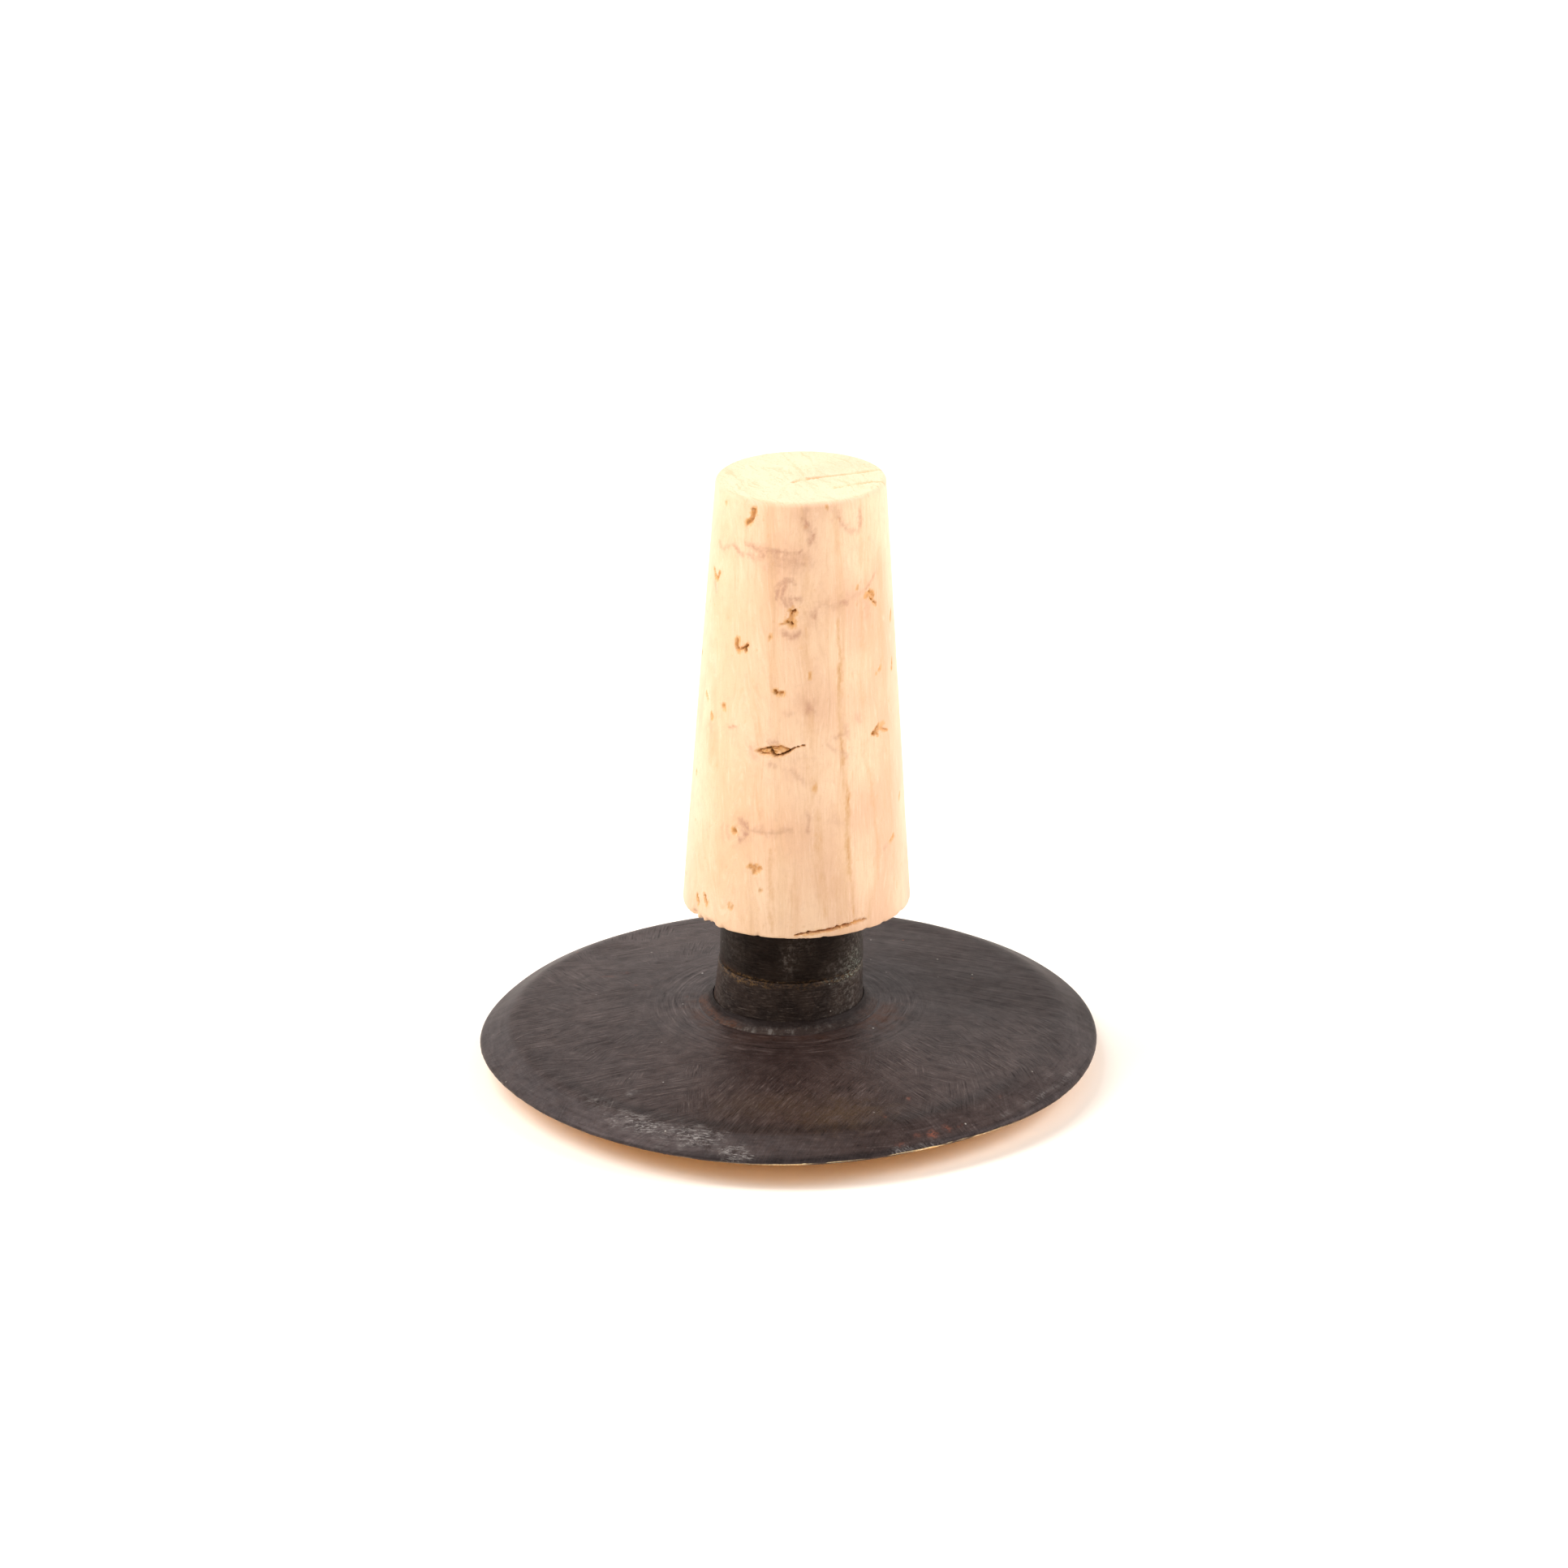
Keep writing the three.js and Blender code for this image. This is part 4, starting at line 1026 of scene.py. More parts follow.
def build_disc():
    columns_phi = columns(468, 0.62)
    profile = disc_profile()
    n, count = len(profile), len(columns_phi)
    r = np.repeat(profile[:, 0][:, None], count, 1)
    z = np.repeat(profile[:, 1][:, None], count, 1)
    phi = np.repeat(columns_phi[None, :], n, 0)
    deg = signed_degrees(phi)
    x, y = r * np.sin(phi), -r * np.cos(phi)
    past_rim = np.arange(n)[:, None] - int(np.argmax(profile[:, 0]))  # rows past the widest one
    topside = (past_rim < 0) & (r > 9.7)
    names = ("copper", "scuff", "olive", "stain", "bare", "crease_shade", "edge_shade")
    marks = {name: np.zeros((n, count)) for name in names}

    def lay(name, values):
        marks[name] = np.maximum(marks[name], values)

    def round_noise(cells, offset, octaves, seed):
        return fbm(phi * cells, 0, offset, octaves, seed)

    # rolled by hand: the crease wanders and the top is never quite fair
    waves = sum(c * np.cos(k * phi) + s * np.sin(k * phi)
                for k, (c, s) in enumerate(RIM_WAVES, 1))
    new_r = r + waves * (r / DISC_R) ** 6
    fair = 0.035 * fbm(x / 11, y / 11, 1.5, 2, 11) + 0.012 * fbm(x / 3.2, y / 3.2, 2.5, 2, 12)
    wander = 0.05 * np.sin(3 * phi + 0.7) * bell(r, 29.6, 1.4)
    # the crease is crisp at the front and all but fades out at the sides
    filled = 0.11 * smooth(38, 80, np.abs(deg)) * bell(r, 28.4, 1.5)
    # shallow turned rings near the neck
    turned = 0.020 * np.sin(r * 7.5 + 0.6 * np.sin(phi)) + 0.010 * fbm(r * 2.4, phi * 0.8, 0.7, 2, 13)
    rings = bell(r, 12.5, 2.6) * turned
    new_z = z + np.where(topside, fair * smooth(9.8, 12, r) + wander + filled + rings, 0)
    # a fine ragged burr on the edge's lower corner
    near_edge = bell(r, 32.45, 0.12) * (np.abs(z - 2.76) < 0.12)
    burr = round_noise(60, 0.4, 3, 21)
    new_r = new_r + near_edge * 0.030 * burr
    new_z = new_z - near_edge * 0.035 * np.clip(burr, 0, 1)

    for name, first_seed, full, patches in DISC_PATCHES:
        for seed, (px, py, half_u, half_v, turn, power) in enumerate(patches, first_seed):
            c, s = math.cos(math.radians(turn)), math.sin(math.radians(turn))
            u = ((x - px) * c + (y - py) * s) / half_u
            v = (-(x - px) * s + (y - py) * c) / half_v
            ragged = 1 + 0.5 * fbm(x * 1.1, y * 1.1, seed, 2, 30 + seed)
            inside = np.clip(1 - np.hypot(u, v) * ragged, 0, 1) * topside
            lay(name, power * smooth(0.0, full, inside))

    # bare metal: the worn edge line, nicks just above it, and the whole underside
    worn = smooth(-0.25, 0.35, round_noise(9, 0.9, 3, 51)) * 0.7 + 0.3
    along = 0.42 + 0.58 * smooth(-10, 4, deg) * smooth(48, 30, deg) + 0.20 * smooth(-70, -84, deg)
    lay("bare", np.where((past_rim >= 0) & (past_rim <= 3), worn * np.clip(along, 0, 1), 0))
    nick = 0.30 + 0.40 * smooth(-0.2, 0.35, round_noise(30, 1.7, 3, 53))
    nick = nick * smooth(-14, 2, deg) * smooth(52, 36, deg)
    left_nick = smooth(0.15, 0.5, round_noise(34, 2.7, 3, 54)) * 0.45 * smooth(-20, -40, deg)
    lay("bare", np.where(past_rim == -1, np.maximum(nick, left_nick), 0))
    lay("bare", (past_rim > 3) * 1.0)

    # a light scratch round the front right of the rim
    scratch = bell(r, 31.55, 0.16) * smooth(24, 34, deg) * smooth(84, 70, deg) * topside
    lay("scuff", 0.8 * scratch * smooth(-0.2, 0.4, fbm(phi * 14, r, 0.2, 2, 52)))

    # painted shade: a dark band inside the crease and a black last stretch of the rim, both strongest at
    # the front
    wobble = 0.25 * round_noise(3, 0.1, 2, 61)
    front = smooth(78, 30, np.abs(deg))
    lay("crease_shade", bell(r + wobble, 28.5, 0.85) * (0.25 + 0.75 * front) * topside)
    lay("crease_shade", 0.6 * bell(r + wobble, 29.25, 0.16) * (0.3 + 0.7 * front) * topside)
    last = smooth(31.75, 32.25, r + 0.3 * round_noise(12, 0.3, 2, 62)) * (past_rim <= -2)
    left_fade = 0.25 + 0.75 * smooth(-44, -16, deg)
    lay("edge_shade", last * (0.4 + 0.6 * front) * left_fade * topside)
    return surface("disc_body", ring(phi, new_r, new_z), marks, flip=True)


def disc_lines(m, p, x, y, r, turn):
    """Hairlines: rings round the neck and the rim, and strokes that differ by region."""
    def scratches(vector, rough=0.76, distort=0.30):
        return m.noise(vector, detail=4, rough=rough, distort=distort)

    def region(scale, loc, start, end):
        return m.fade(m.noise(m.place(p, (scale,) * 3, loc=loc)), start, end)

    rings = scratches(m.vec(m.mul(r, 2.4), m.mul(turn, 2.2), 0.0), distort=0.5)
    rim = scratches(m.vec(m.mul(r, 2.6), m.mul(turn, 9.0), 4.0), distort=0.6)
    spiral = scratches(m.spiral(24, long=7.0, across=94.0, shift=1.0))
    counter_spiral = scratches(m.spiral(-38, long=8.0, across=90.0, shift=2.0))
    left = scratches(m.along(14, long=0.32, across=4.7, shift=3.0))
    right = scratches(m.along(-50, long=0.40, across=4.6, shift=5.0))
    spiral_region = region(0.17, (3, 1, 0), 0.44, 0.56)
    straight_region = region(0.21, (9, 4, 0), 0.46, 0.58)
    lines = m.mix_float(spiral_region, spiral, counter_spiral)
    lines = m.mix_float(m.mul(m.fade(x, -2.0, -8.0), straight_region), lines, left)
    lines = m.mix_float(m.mul(m.fade(x, 2.0, 9.0), straight_region), lines, right)
    front = scratches(m.along(62, long=0.50, across=5.0, shift=9.0), rough=0.74, distort=0.25)
    front_region = m.mul(m.mul(m.fade(y, -15.0, -20.0), m.fade(x, -11.0, -6.0)),
                         m.fade(x, 13.0, 8.0, high=0.85))
    lines = m.mix_float(front_region, lines, front)
    back_right = scratches(m.along(-16, long=0.17, across=3.2, shift=13.0))
    back_right_region = m.mul(m.fade(x, 5.0, 12.0), m.fade(y, -5.0, 2.0, high=0.80))
    lines = m.mix_float(back_right_region, lines, back_right)
    lines = m.mix_float(m.fade(r, 12.5, 17.5, low=0.92, high=0.0), lines, rings)
    return m.mix_float(m.fade(r, 28.6, 30.2, high=0.55), lines, rim)


def disc_material():
    m = Nodes("patinated_brass_disc")
    p = m.mm
    x, y, z = m.xyz(p)
    r, turn, _ = m.polar()
    cloud = m.noise(m.place(p, (0.13, 0.13, 0.13)), detail=3, rough=0.6)
    mottle = m.noise(p, scale=0.75, detail=4, rough=0.66)
    fine = m.noise(p, scale=4.5, detail=3, rough=0.66)
    lines = disc_lines(m, p, x, y, r, turn)
    col = m.mix(m.fade(cloud, 0.38, 0.62), srgb(40, 28, 25), srgb(50, 37, 33))
    col = m.tints(col, [
        (mottle, 0.46, 0.66, 0.60, (31, 21, 18)),
        (mottle, 0.46, 0.30, 0.34, (64, 52, 48)),
        (lines, 0.54, 0.70, 0.70, (92, 79, 74)),
        (lines, 0.46, 0.32, 0.72, (13, 8, 7)),
        (fine, 0.58, 0.72, 0.35, (98, 86, 80)),
    ])
    # a darker area at the back right
    shade = m.mul(m.mul(m.fade(x, 2.0, 9.0), m.fade(y, -7.0, 4.0)),
                  m.fade(cloud, 0.30, 0.60, low=0.75))
    col = m.tint(col, shade, 0.35, (16, 9, 7))
    # the rolled rim is a cooler grey, a painted reflection that is strongest on the left; the last of it
    # is painted shade in black, and a band of painted shade lies inside the crease
    roll_noise = m.noise(p, scale=1.1, detail=3, rough=0.6)
    roll = m.mul(m.fade(r, 29.0, 29.9), m.fade(roll_noise, 0.25, 0.60, low=0.45))
    roll = m.mul(roll, m.fade(x, 12.0, -3.0, low=0.20))
    col = m.tint(col, roll, 0.42, (66, 62, 62))
    col = m.tint(col, m.attr("crease_shade"), 0.70, (17, 12, 11))
    col = m.tint(col, m.attr("edge_shade"), 0.75, (16, 13, 14))
    olive = m.mul(m.attr("olive"), m.fade(m.mix_float(0.5, fine, mottle), 0.36, 0.60, low=0.15))
    col = m.tint(col, olive, 0.66, (74, 56, 37))
    stain = m.mul(m.attr("stain"), m.fade(mottle, 0.34, 0.60, low=0.25, high=0.95))
    col = m.tint(col, stain, 0.80, (78, 48, 32))
    streak_at = m.along(-14, long=1.1, across=4.6, shift=7.0)
    streak = m.noise(streak_at, detail=5, rough=0.78, distort=0.9)
    scuff = m.mul(m.attr("scuff"), m.fade(streak, 0.50, 0.61))
    scuff_base = m.mix(m.fade(mottle, 0.40, 0.56), srgb(90, 84, 81), srgb(38, 31, 30))
    col = m.mix(m.mul(m.attr("scuff"), 0.62), col, scuff_base)
    col = m.tint(col, scuff, 0.86, (152, 145, 139))
    copper_noise = m.noise(p, scale=3.0, detail=3, rough=0.70)
    copper = m.mul(m.attr("copper"), m.fade(copper_noise, 0.40, 0.54))
    col = m.tint(col, copper, 0.85, (118, 68, 52))
    # scattered specks: copper coloured and dusty white
    flat = m.vec(x, y, m.mul(z, 0.2))
    pick = m.xyz(m.voronoi(flat, 0.40, "Color"))[0]
    spot = m.mul(m.fade(m.voronoi(flat, 0.40), 0.060, 0.030), m.fade(pick, 0.84, 0.86))
    col = m.tint(col, spot, 0.75, (146, 84, 54))
    shifted = m.place(flat, loc=(5.3, 3.1, 0))
    pick, size, strength = m.xyz(m.voronoi(shifted, 0.55, "Color"))
    reach = m.fade(size, 0.0, 1.0, low=0.045, high=0.085)
    dust = m.mul(m.fade(m.voronoi(shifted, 0.55), reach, 0.025), m.fade(pick, 0.62, 0.64))
    dust = m.mul(dust, m.fade(strength, 0.0, 1.0, low=0.35, high=0.95))
    col = m.mix(dust, col, srgb(190, 182, 170))
    # bare metal, plainest on the underside
    bare = m.fade(m.attr("bare"), 0.25, 0.80)
    under = m.fade(m.attr("bare"), 0.90, 0.995)
    brass_noise = m.noise(p, scale=0.5, detail=3)
    brass = m.mix(m.fade(brass_noise, 0.35, 0.65), srgb(250, 206, 136), srgb(236, 188, 116))
    edge_brass = m.mix(m.fade(fine, 0.35, 0.65), srgb(230, 208, 168), srgb(190, 160, 116))
    col = m.mix(bare, col, m.mix(under, edge_brass, brass))
    rough = m.add(0.46, m.mul(m.sub(lines, 0.5), 0.30))
    rough = m.mix_float(scuff, rough, 0.62)
    shine = m.linear(lines, 0.34, 0.68, low=0.06, high=0.52)
    # worn and dusty patches some millimetres across
    patch_at = m.along(-8, long=0.16, across=0.30, shift=11.0)
    patch = m.noise(patch_at, detail=4, rough=0.68, distort=0.6)
    # what dulls or lifts the shine: (pattern, start, end, factor at start, factor at end)
    for change in (
        (mottle, 0.34, 0.62, 1.26, 0.86),
        (shade, 0.0, 1.0, 1.0, 0.50),
        (stain, 0.0, 1.0, 1.0, 0.62),
        (patch, 0.34, 0.66, 0.78, 1.22),
    ):
        shine = m.mul(shine, m.linear(*change))
    turned = m.noise(m.vec(m.mul(r, 9.0), m.mul(turn, 0.8), 0.0), detail=3, rough=0.7)
    bare_rough = m.mix_float(under, 0.42, m.add(0.22, m.mul(turned, 0.14)))
    m.set(
        Base_Color=col,
        Roughness=m.mix_float(bare, rough, bare_rough),
        Metallic=m.mix_float(bare, 0.08, 1.0),
        Specular_IOR_Level=m.mix_float(bare, shine, 0.5),
        Specular_Tint=m.mix(bare, (1.0, 0.76, 0.70), (1.0, 1.0, 1.0)),
    )
    height = m.mix_float(bare, m.add(lines, m.mul(fine, 0.25)), m.mul(turned, 0.6))
    m.set(Normal=m.bump(height, distance=0.00007, strength=0.8))
    return m.material


# ----------------------------------------------------------------- the neck

NECK_PHI = columns(240, 0.6)
NECK_DEG = signed_degrees(NECK_PHI)

# pale patches on the ferrule, the narrow one at the front a painted sheen: (strength, angle, spread,
# height above the seam, spread)
FERRULE_PALE = [
    (0.80, -3, 6, 2.6, 1.7), (0.35, 8, 12, 4.6, 1.6), (1.0, 60, 15, 2.2, 3.0),
    (0.55, 38, 12, 0.9, 1.1), (0.35, -58, 16, 3.0, 2.6),
]


def around(cells, height, octaves, seed):
    """Noise round the neck, with its circle scaled to a radius in cells."""
    return fbm(np.sin(NECK_PHI) * cells, np.cos(NECK_PHI) * cells, height, octaves, seed)


def neck_grid(count):
    """Empty points, and masks of worn marks and painted highlights, for a neck piece with this many rows.
    """
    shape = (count, len(NECK_PHI))
    wear_and_highlight = {name: np.zeros(shape) for name in ("white", "rust", "green", "bright")}
    return np.zeros((*shape, 3)), wear_and_highlight


def boss_rows():
    """Rows of (radius, z, centre x, kind), from the threaded hole, over and down to the spigot."""
    base_r, top_r, top_x = 7.92, 7.59, 0.25
    floor_z, mouth_r = 4.30, 3.34
    rows = [(0.0, floor_z, BOLT_X, "hole"), (2.0, floor_z, BOLT_X, "hole"),
            (2.52, floor_z + 0.05, BOLT_X, "hole")]
    for z in np.arange(floor_z + 0.12, SEAM_Z - 0.04, 0.075):
        rows.append((0.0, float(z), BOLT_X, "thread"))
    rows += [(3.16, SEAM_Z - 0.03, BOLT_X, "hole"), (mouth_r, SEAM_Z, BOLT_X, "top")]
    for r in np.linspace(3.9, top_r - 0.34, 7):
        share = (r - mouth_r) / (top_r - mouth_r)
        rows.append((r, SEAM_Z, BOLT_X + (top_x - BOLT_X) * share, "top"))
    for inset, drop in ((0.10, 0.002), (0.04, 0.02), (0.01, 0.06)):
        rows.append((top_r - inset, SEAM_Z - drop, top_x, "lip"))
    body = [(top_r, SEAM_Z - 0.12), (7.64, 10.6), (7.68, 9.6), (7.74, 8.6), (7.80, 7.8),
            (7.86, 7.2), (base_r, SEAT_Z + 0.02)]
    for r, z in spline(body, 46):
        rows.append((r, z, top_x * (z - SEAT_Z) / (SEAM_Z - SEAT_Z), "out"))
    rows += [(r, z, 0.0, "spigot") for r, z in (
        (base_r, SEAT_Z), (6.4, SEAT_Z), (5.05, SEAT_Z), (4.95, SEAT_Z - 0.1), (4.95, 4.8),
        (4.95, SPIGOT_Z + 0.2), (4.75, SPIGOT_Z), (2.4, SPIGOT_Z), (0.0, SPIGOT_Z))]
    return rows


def build_boss():
    deg = NECK_DEG
    rows = boss_rows()
    points, wear_and_highlight = neck_grid(len(rows))
    for i, (r, z, centre_x, kind) in enumerate(rows):
        if kind == "thread":
            r = thread_radius(NECK_PHI, z, pitch=1.0, minor=2.54, major=3.10)
        if kind in ("lip", "out") and z > SEAM_Z - 1.1:
            ragged_z = z + 0.26 * around(7, 0.0, 2, 19)
            # a thin brass line along the seam, with painted highlights added at the front left and front
            # right
            seam_line_and_highlight = 0.30 + 0.70 * bell(deg, -44, 24) + 0.2 * bell(deg, 40, 20)
            wear_and_highlight["bright"][i] = smooth(SEAM_Z - 0.74, SEAM_Z - 0.40, ragged_z) * seam_line_and_highlight
            wear_and_highlight["green"][i] = smooth(SEAM_Z - 1.0, SEAM_Z - 0.20, z) * bell(deg, 58, 22)
        if kind == "out":
            rise = smooth(SEAT_Z, SEAT_Z + 0.8, z)
            r = r + 0.022 * around(2.4, z / 2.2, 2, 14) + rise * 0.008 * around(9, z * 5.5, 2, 15)
            r = r + 0.06 * bell(deg, -88, 30) * smooth(9.6, 7.4, z)
            rust = 0.40 * smooth(SEAT_Z + 1.1, SEAT_Z + 0.2, z) * smooth(20, 50, np.abs(deg))
            rust = rust * smooth(-0.1, 0.6, around(3, z, 2, 16))
            wear_and_highlight["rust"][i] = np.maximum(rust, 0.30 * bell(deg, -82, 10))
            wear_and_highlight["white"][i] = 0.85 * bell(deg, 58, 22) + 0.42 * bell(deg, -72, 15) + 0.06
        points[i] = ring(NECK_PHI, r, z, centre_x)
    return surface("boss_body", points, wear_and_highlight, flip=True)


def build_ferrule():
    deg = NECK_DEG
    top, low = FERRULE_TOP_Z, SEAM_Z
    flat_radii = (4.6, 6.0, 7.0)
    # the bore, then the top, the outside and the underside
    rows = [(r, z, BOLT_X) for r, z in (
        (3.32, low), (3.30, low + 0.05), (3.30, (low + top) / 2), (3.30, top - 0.05), (3.32, top))]
    outside = [(r, top) for r in flat_radii]
    outside += [(FERRULE_R - 0.18, top), (FERRULE_R - 0.07, top - 0.05), (FERRULE_R, top - 0.16)]
    outside += [(FERRULE_R, float(z)) for z in np.linspace(top - 0.4, low + 0.34, 52)]
    outside += [(FERRULE_R, low + 0.14), (FERRULE_R - 0.02, low + 0.07),
                (FERRULE_R - 0.05, low + 0.03), (FERRULE_R - 0.12, low)]
    outside += [(r, low) for r in reversed(flat_radii)]
    rows += [(r, z, FERRULE_X) for r, z in outside]
    points, wear_and_highlight = neck_grid(len(rows))
    for i, (r, z, centre_x) in enumerate(rows):
        if r > 7.2 and low + 0.02 < z < top - 0.02:
            r = r + 0.020 * around(2.2, z / 2.5, 2, 24) + 0.006 * around(9, z * 6.0, 2, 25)
            up = z - low
            # pale patches, the narrow one at the front a painted sheen
            pale = sum(strength * bell(deg, angle, turn_spread) * bell(up, height, rise_spread)
                       for strength, angle, turn_spread, height, rise_spread in FERRULE_PALE)
            wear_and_highlight["white"][i] = np.clip(pale, 0, 1)
            wear_and_highlight["green"][i] = 0.9 * bell(deg, 62, 13) * smooth(3.4, 0.4, up)
            wear_and_highlight["rust"][i] = 0.30 * smooth(1.0, 0.1, up) * smooth(0.2, 0.6, bell(deg, -70, 22))
            # a thin brass line along the seam, with a painted highlight added at the front left
            band_top = 0.30 + 0.16 * bell(deg, -44, 26)
            band = smooth(band_top, 0.12, up + 0.14 * around(7, 3.0, 2, 28))
            wear_and_highlight["bright"][i] = band * (0.35 + 0.65 * bell(deg, -44, 24))
        points[i] = ring(NECK_PHI, r, z, centre_x)
    return surface("ferrule_body", points, wear_and_highlight, poles=False, flip=True)


def build_braze():
    """The hollow fillet between the disc's seat and the foot of the boss."""
    deg = NECK_DEG
    inner, outer, height = 7.96, 9.40, 0.90
    outline = [(outer, SEAT_Z + 0.005), (outer - 0.20, SEAT_Z + 0.045), (8.85, SEAT_Z + 0.15),
               (8.45, SEAT_Z + 0.36), (8.16, SEAT_Z + 0.66), (8.00, SEAT_Z + height)]
    rows = [(inner, SEAT_Z), (8.6, SEAT_Z), (outer, SEAT_Z), *spline(outline, 20),
            (inner, SEAT_Z + height)]
    points, wear_and_highlight = neck_grid(len(rows))
    lump = around(4.2, 0.5, 3, 34)
    for i, (r, z) in enumerate(rows):
        climb = (z - SEAT_Z) / height
        new_r, new_z = r, z
        if r > inner + 0.02 and climb > 0.0:
            if climb > 0.02:
                new_z = z + 0.045 * lump * (1 - climb) + 0.010 * around(14, r * 3, 2, 35)
            new_z = np.maximum(new_z, SEAT_Z + 0.004)
            new_r = r + (0.10 if climb < 0.5 else 0.03) * lump
        left = bell(np.clip(np.abs(deg + 66) - 22, 0, 90), 0, 9) * smooth(0.85, 0.15, climb)
        right = bell(np.clip(np.abs(deg - 72) - 9, 0, 90), 0, 8) * smooth(0.9, 0.1, climb)
        broken = 0.60 + 0.40 * smooth(-0.3, 0.4, around(5, r * 1.5, 2, 36))
        wear_and_highlight["rust"][i] = np.clip((left + 0.55 * right) * broken, 0, 1)
        # a whitish deposit at the front, then painted highlights along the foot at the front left and
        # over the front of the fillet
        white = bell(deg, -15, 9) * smooth(0.45, 0.1, climb)
        white = white + 0.8 * bell(deg, -34, 16) * bell(climb, 0.06, 0.10)
        white = white + 0.80 * bell(deg, 8, 34) * bell(climb, 0.30, 0.38)
        wear_and_highlight["white"][i] = np.clip(white, 0, 1)
        points[i] = ring(NECK_PHI, new_r, new_z)
    return surface("braze_fillet", points, wear_and_highlight, poles=False)


def neck_material(name, dark, middle, light, rough, file_share, gloss, painted_shade_upward=False):
    """Dark patina with file strokes. Colours are 0..255."""
    m = Nodes(name)
    p = m.mm
    z = m.xyz(p)[2]
    r, turn, _ = m.polar()

    def flecks(around_scale, up_scale, shift, rough):
        at = m.vec(m.mul(turn, around_scale), m.mul(z, up_scale), shift)
        return m.noise(at, detail=4, rough=rough)

    # short file strokes that run round the neck, and turned rings on its flat ends
    normal_z = m.xyz(m.node("NewGeometry").outputs["Normal"])[2]
    is_flat = m.fade(m.math("ABSOLUTE", normal_z), 0.80, 0.95)
    step = m.mix_float(is_flat, z, m.mul(r, 1.0))
    files_at = m.vec(m.mul(turn, 5.0), m.mul(step, 6.2), 0.0)
    files = m.noise(files_at, detail=4, rough=0.74, distort=0.35)
    cross_at = m.vec(m.add(m.mul(turn, 14.0), m.mul(step, 1.6)), m.mul(step, 5.0), 0.0)
    cross = m.noise(cross_at, detail=3, rough=0.7, distort=0.3)
    lines = m.mix_float(0.35, files, cross)
    cloud = m.noise(p, scale=0.50, detail=4, rough=0.62)
    fine = m.noise(p, scale=4.5, detail=3, rough=0.66)
    col = m.mix(m.fade(cloud, 0.38, 0.62), srgb(*dark), srgb(*middle))
    col = m.tints(col, [
        (lines, 0.52, 0.70, file_share, light),
        (lines, 0.47, 0.32, 0.55, (13, 9, 8)),
        (fine, 0.58, 0.72, 0.25, light),
    ])
    # pale deposits, with painted highlights and sheen where the masks carry them
    white = m.mul(m.attr("white"), m.fade(flecks(15.0, 2.0, 2.0, rough=0.72), 0.46, 0.64))
    col = m.tint(col, m.attr("white"), 0.22, (80, 68, 60))
    col = m.tint(col, white, 0.50, (122, 114, 107))
    rust_noise = m.noise(p, scale=2.2, detail=3, rough=0.65)
    rust = m.mul(m.attr("rust"), m.fade(rust_noise, 0.30, 0.58))
    col = m.tint(col, rust, 0.68, (84, 50, 32))
    # the brass line at the seam, with its painted highlights
    bright = m.mul(m.attr("bright"), m.fade(flecks(20.0, 3.0, 5.0, rough=0.76), 0.47, 0.58))
    col = m.tint(col, bright, 0.80, (112, 84, 52))
    green = m.mul(m.attr("green"), m.fade(flecks(30.0, 3.6, 9.0, rough=0.74), 0.50, 0.64))
    col = m.tint(col, green, 0.85, (158, 164, 148))
    pick = m.xyz(m.voronoi(p, 0.9, "Color"))[0]
    dust = m.mul(m.fade(m.voronoi(p, 0.9), 0.085, 0.05), m.fade(pick, 0.80, 0.82))
    col = m.tint(col, dust, 0.7, (158, 150, 142))
    shine = m.mul(m.linear(lines, 0.34, 0.68, low=0.25, high=1.9), gloss)
    if painted_shade_upward:
        # painted shade: darker and duller towards the top of the fillet, in the corner where it meets the
        # boss
        climb = m.fade(z, SEAT_Z + 0.10, SEAT_Z + 0.55)
        col = m.tint(col, climb, 0.75, (22, 15, 13))
        shine = m.mul(shine, m.linear(climb, 0.0, 1.0, low=1.0, high=0.55))
    m.set(
        Base_Color=col,
        Roughness=m.add(rough, m.mul(m.sub(lines, 0.5), 0.30)),
        Metallic=0.08,
        Specular_Tint=(1.0, 0.84, 0.78),
        Specular_IOR_Level=shine,
    )
    height = m.add(lines, m.mul(fine, 0.3))
    m.set(Normal=m.bump(height, distance=0.00005, strength=0.8))
    return m.material


# ----------------------------------------------------------------- the bolt


def build_bolt():
    """A hanger bolt: a fine thread below, a plain shank, and a coarse tapering thread above."""
    phi = columns(96, 0.5)
    fine_minor, fine_major = 2.39, 2.95
    shank_z, coarse_z, taper_z = SEAM_Z + 0.26, 17.75, 36.0
    taper_r, tip_r = 3.2, 0.7
    rows = [(0.0, BOLT_Z0)]
    for z in np.arange(BOLT_Z0, SEAM_Z + 0.22, 0.07):
        r = thread_radius(phi, z, pitch=1.0, minor=fine_minor, major=fine_major)
        r = np.minimum(r, 2.40 + (z - BOLT_Z0))
        r = np.minimum(r, fine_major - max(0.0, z - SEAM_Z + 0.1))
        rows.append((np.maximum(r, fine_minor), z))
    for z in np.linspace(shank_z, coarse_z, 24):
        rows.append((2.60 - 0.2 * math.exp(-(z - shank_z) * 6), z))
    for z in np.arange(17.8, BOLT_Z1 - 0.02, 0.14):
        r = thread_radius(phi, z, pitch=2.5, minor=2.0, major=3.0)
        past = max(0.0, z - taper_z)
        r = np.minimum(r, taper_r - past * (taper_r - tip_r) / (BOLT_Z1 - taper_z))
        rows.append((np.minimum(r, 2.0 + max(0.0, z - coarse_z) * 1.4), z))
    rows.append((0.0, BOLT_Z1))
    return surface("bolt_body", np.array([ring(phi, r, z, BOLT_X) for r, z in rows]))


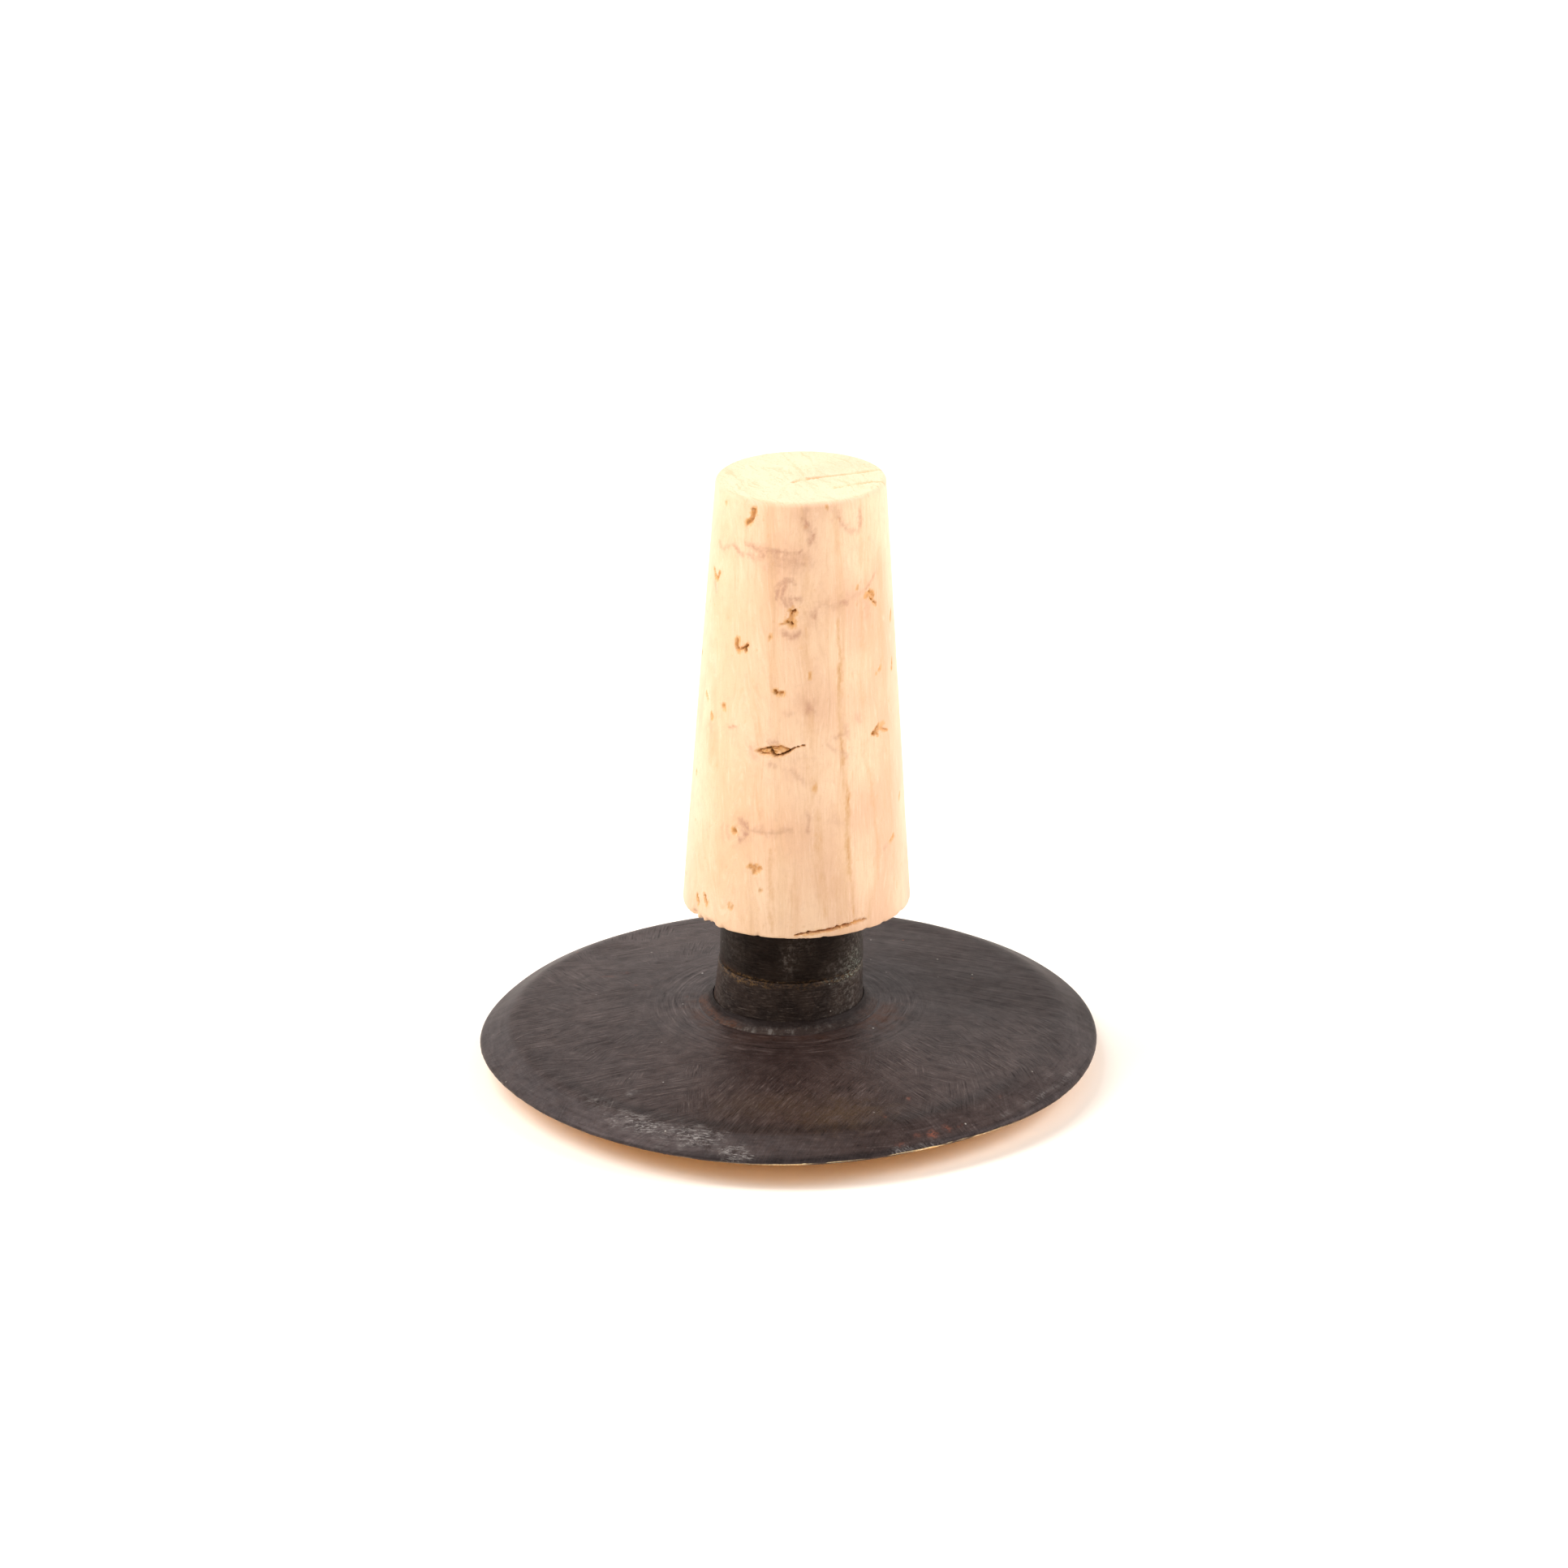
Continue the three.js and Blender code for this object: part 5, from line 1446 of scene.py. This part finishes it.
def bolt_material():
    m = Nodes("bright_brass")
    p = m.mm
    x, y, z = m.xyz(p)
    turn = m.math("ARCTAN2", y, m.sub(x, BOLT_X))
    turned = m.noise(m.vec(m.mul(turn, 1.2), m.mul(z, 12.0), 0.0), detail=3, rough=0.7)
    cloud = m.noise(p, scale=0.8, detail=3, rough=0.6)
    tarnish = m.noise(p, scale=3.0, detail=3, rough=0.6)
    col = m.mix(m.fade(cloud, 0.36, 0.66), srgb(206, 170, 104), srgb(176, 138, 78))
    col = m.tint(col, m.fade(tarnish, 0.52, 0.72), 0.5, (120, 86, 46))
    m.set(Base_Color=col, Metallic=1.0, Roughness=m.add(0.24, m.mul(turned, 0.18)))
    m.set(Normal=m.bump(turned, distance=0.00002, strength=0.6))
    return m.material


# --------------------------------------------------------------- put together


def finish_piece(obj, material, body, node, sharp):
    """Dress a piece and tell the frame what it is. sharp is the edge angle in degrees."""
    obj.data.materials.append(material)
    obj.data.set_sharp_from_angle(angle=math.radians(sharp))
    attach(obj, body)
    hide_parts(node)


boss_patina = dict(dark=(28, 20, 17), middle=(43, 33, 28), light=(92, 80, 71),
                   rough=0.50, file_share=0.85, gloss=0.18)
braze_patina = dict(dark=(34, 25, 22), middle=(44, 34, 31), light=(94, 82, 75),
                    rough=0.52, file_share=0.75, gloss=0.17, painted_shade_upward=True)
ferrule_patina = dict(dark=(21, 14, 10), middle=(32, 24, 19), light=(60, 50, 43),
                      rough=0.50, file_share=0.40, gloss=0.12)

finish_piece(build_disc(), disc_material(), "knob", "knob_disc", sharp=50)
finish_piece(build_boss(), neck_material("patinated_boss", **boss_patina),
             "knob", "neck_boss", sharp=40)
finish_piece(build_braze(), neck_material("braze_metal", **braze_patina),
             "knob", "braze_ring", sharp=50)
finish_piece(build_ferrule(), neck_material("patinated_ferrule", **ferrule_patina),
             "ferrule", "neck_ferrule", sharp=40)
finish_piece(build_bolt(), bolt_material(), "stopper", "hanger_bolt", sharp=35)
finish_piece(build_cork(), cork_material(), "stopper", "cork", sharp=60)

# ------------------------------------------------------------ floor and light, in metres


def build_floor():
    half, z = 3.0, -0.00002
    mesh = bpy.data.meshes.new("floor")
    outline = [(-half, -half, z), (half, -half, z), (half, half, z), (-half, half, z)]
    mesh.from_pydata(outline, [], [(0, 1, 2, 3)])
    obj = bpy.data.objects.new("floor", mesh)
    bpy.context.scene.collection.objects.link(obj)
    m = Nodes("floor_pale")
    m.set(Base_Color=(0.97, 0.88, 0.78), Roughness=0.9, Specular_IOR_Level=0.1)
    mesh.materials.append(m.material)


def build_world():
    """Soft white light from the four sides of the room."""
    world = bpy.data.worlds.new("studio")
    bpy.context.scene.world = world
    world.use_nodes = True
    nodes, links = world.node_tree.nodes, world.node_tree.links
    nodes.clear()
    output = nodes.new("ShaderNodeOutputWorld")
    background = nodes.new("ShaderNodeBackground")
    direction = nodes.new("ShaderNodeSeparateXYZ")
    links.new(nodes.new("ShaderNodeTexCoord").outputs["Generated"], direction.inputs[0])
    strength = None
    # (axis, where the light starts, where it is full, power): back, front, left, right
    for axis, start, full, power in (
        (1, 0.1, 0.7, 0.30), (1, -0.1, -0.7, 0.21), (0, -0.2, -0.8, 0.53), (0, 0.2, 0.8, 0.64),
    ):
        lobe = nodes.new("ShaderNodeMapRange")
        lobe.interpolation_type = "SMOOTHSTEP"
        links.new(direction.outputs[axis], lobe.inputs["Value"])
        lobe.inputs["From Min"].default_value = start
        lobe.inputs["From Max"].default_value = full
        lobe.inputs["To Min"].default_value = 0.0
        lobe.inputs["To Max"].default_value = power
        if strength is None:
            strength = lobe.outputs[0]
        else:
            total = nodes.new("ShaderNodeMath")
            total.operation = "ADD"
            links.new(strength, total.inputs[0])
            links.new(lobe.outputs[0], total.inputs[1])
            strength = total.outputs[0]
    links.new(strength, background.inputs[1])
    background.inputs[0].default_value = (1, 1, 1, 1)
    links.new(background.outputs[0], output.inputs[0])


def area(name, loc, aim_z, size, power, color=(1, 1, 1), size_y=None):
    """An area light aimed at a height on the Z axis."""
    light = bpy.data.lights.new(name, "AREA")
    light.energy = power
    light.color = color
    light.size = size
    if size_y:
        light.shape = "RECTANGLE"
        light.size_y = size_y
    obj = bpy.data.objects.new(name, light)
    obj.location = loc
    aim = Vector((0, 0, aim_z)) - Vector(loc)
    obj.rotation_euler = aim.to_track_quat("-Z", "Y").to_euler()
    bpy.context.scene.collection.objects.link(obj)


build_floor()
build_world()
COOL = (0.98, 1.0, 1.05)
area("key_left", (-0.62, -0.05, 0.55), aim_z=0.03, size=0.45, power=4.75, color=COOL)
area("over_left", (-0.35, 0.05, 0.75), aim_z=0.0, size=0.35, power=2.65)
area("fill_right", (0.62, 0.0, 0.45), aim_z=0.03, size=0.45, power=4.3, color=COOL)
area("back_strip", (0, 0.75, 0.40), aim_z=0.02, size=1.1, power=2.2, size_y=0.5)
area("front_soft", (0, -0.75, 0.65), aim_z=0.02, size=0.6, power=2.3)

# ------------------------------------------------------------------- camera

CAMERA_PLACE = Vector((-0.000291769, -0.574058735, 0.254561396))
CAMERA_RIGHT = Vector((0.999968663, -0.002872624, -0.007377049))
CAMERA_UP = Vector((0.007916617, 0.362848727, 0.931814428))
CAMERA_FORWARD = Vector((0.0, 0.931843629, -0.362860098))

camera = bpy.data.cameras.new("camera")
camera.sensor_width = 36.0
camera.lens = 136.18
camera.clip_start = 0.05
camera.clip_end = 20.0
camera_obj = bpy.data.objects.new("camera", camera)
turn = Matrix((CAMERA_RIGHT, CAMERA_UP, -CAMERA_FORWARD)).transposed().to_4x4()
camera_obj.matrix_world = Matrix.Translation(CAMERA_PLACE) @ turn
bpy.context.scene.collection.objects.link(camera_obj)
bpy.context.scene.camera = camera_obj

view = bpy.context.scene.view_settings
view.view_transform = "Standard"
view.look = "None"
view.exposure = 0.0
view.gamma = 1.0
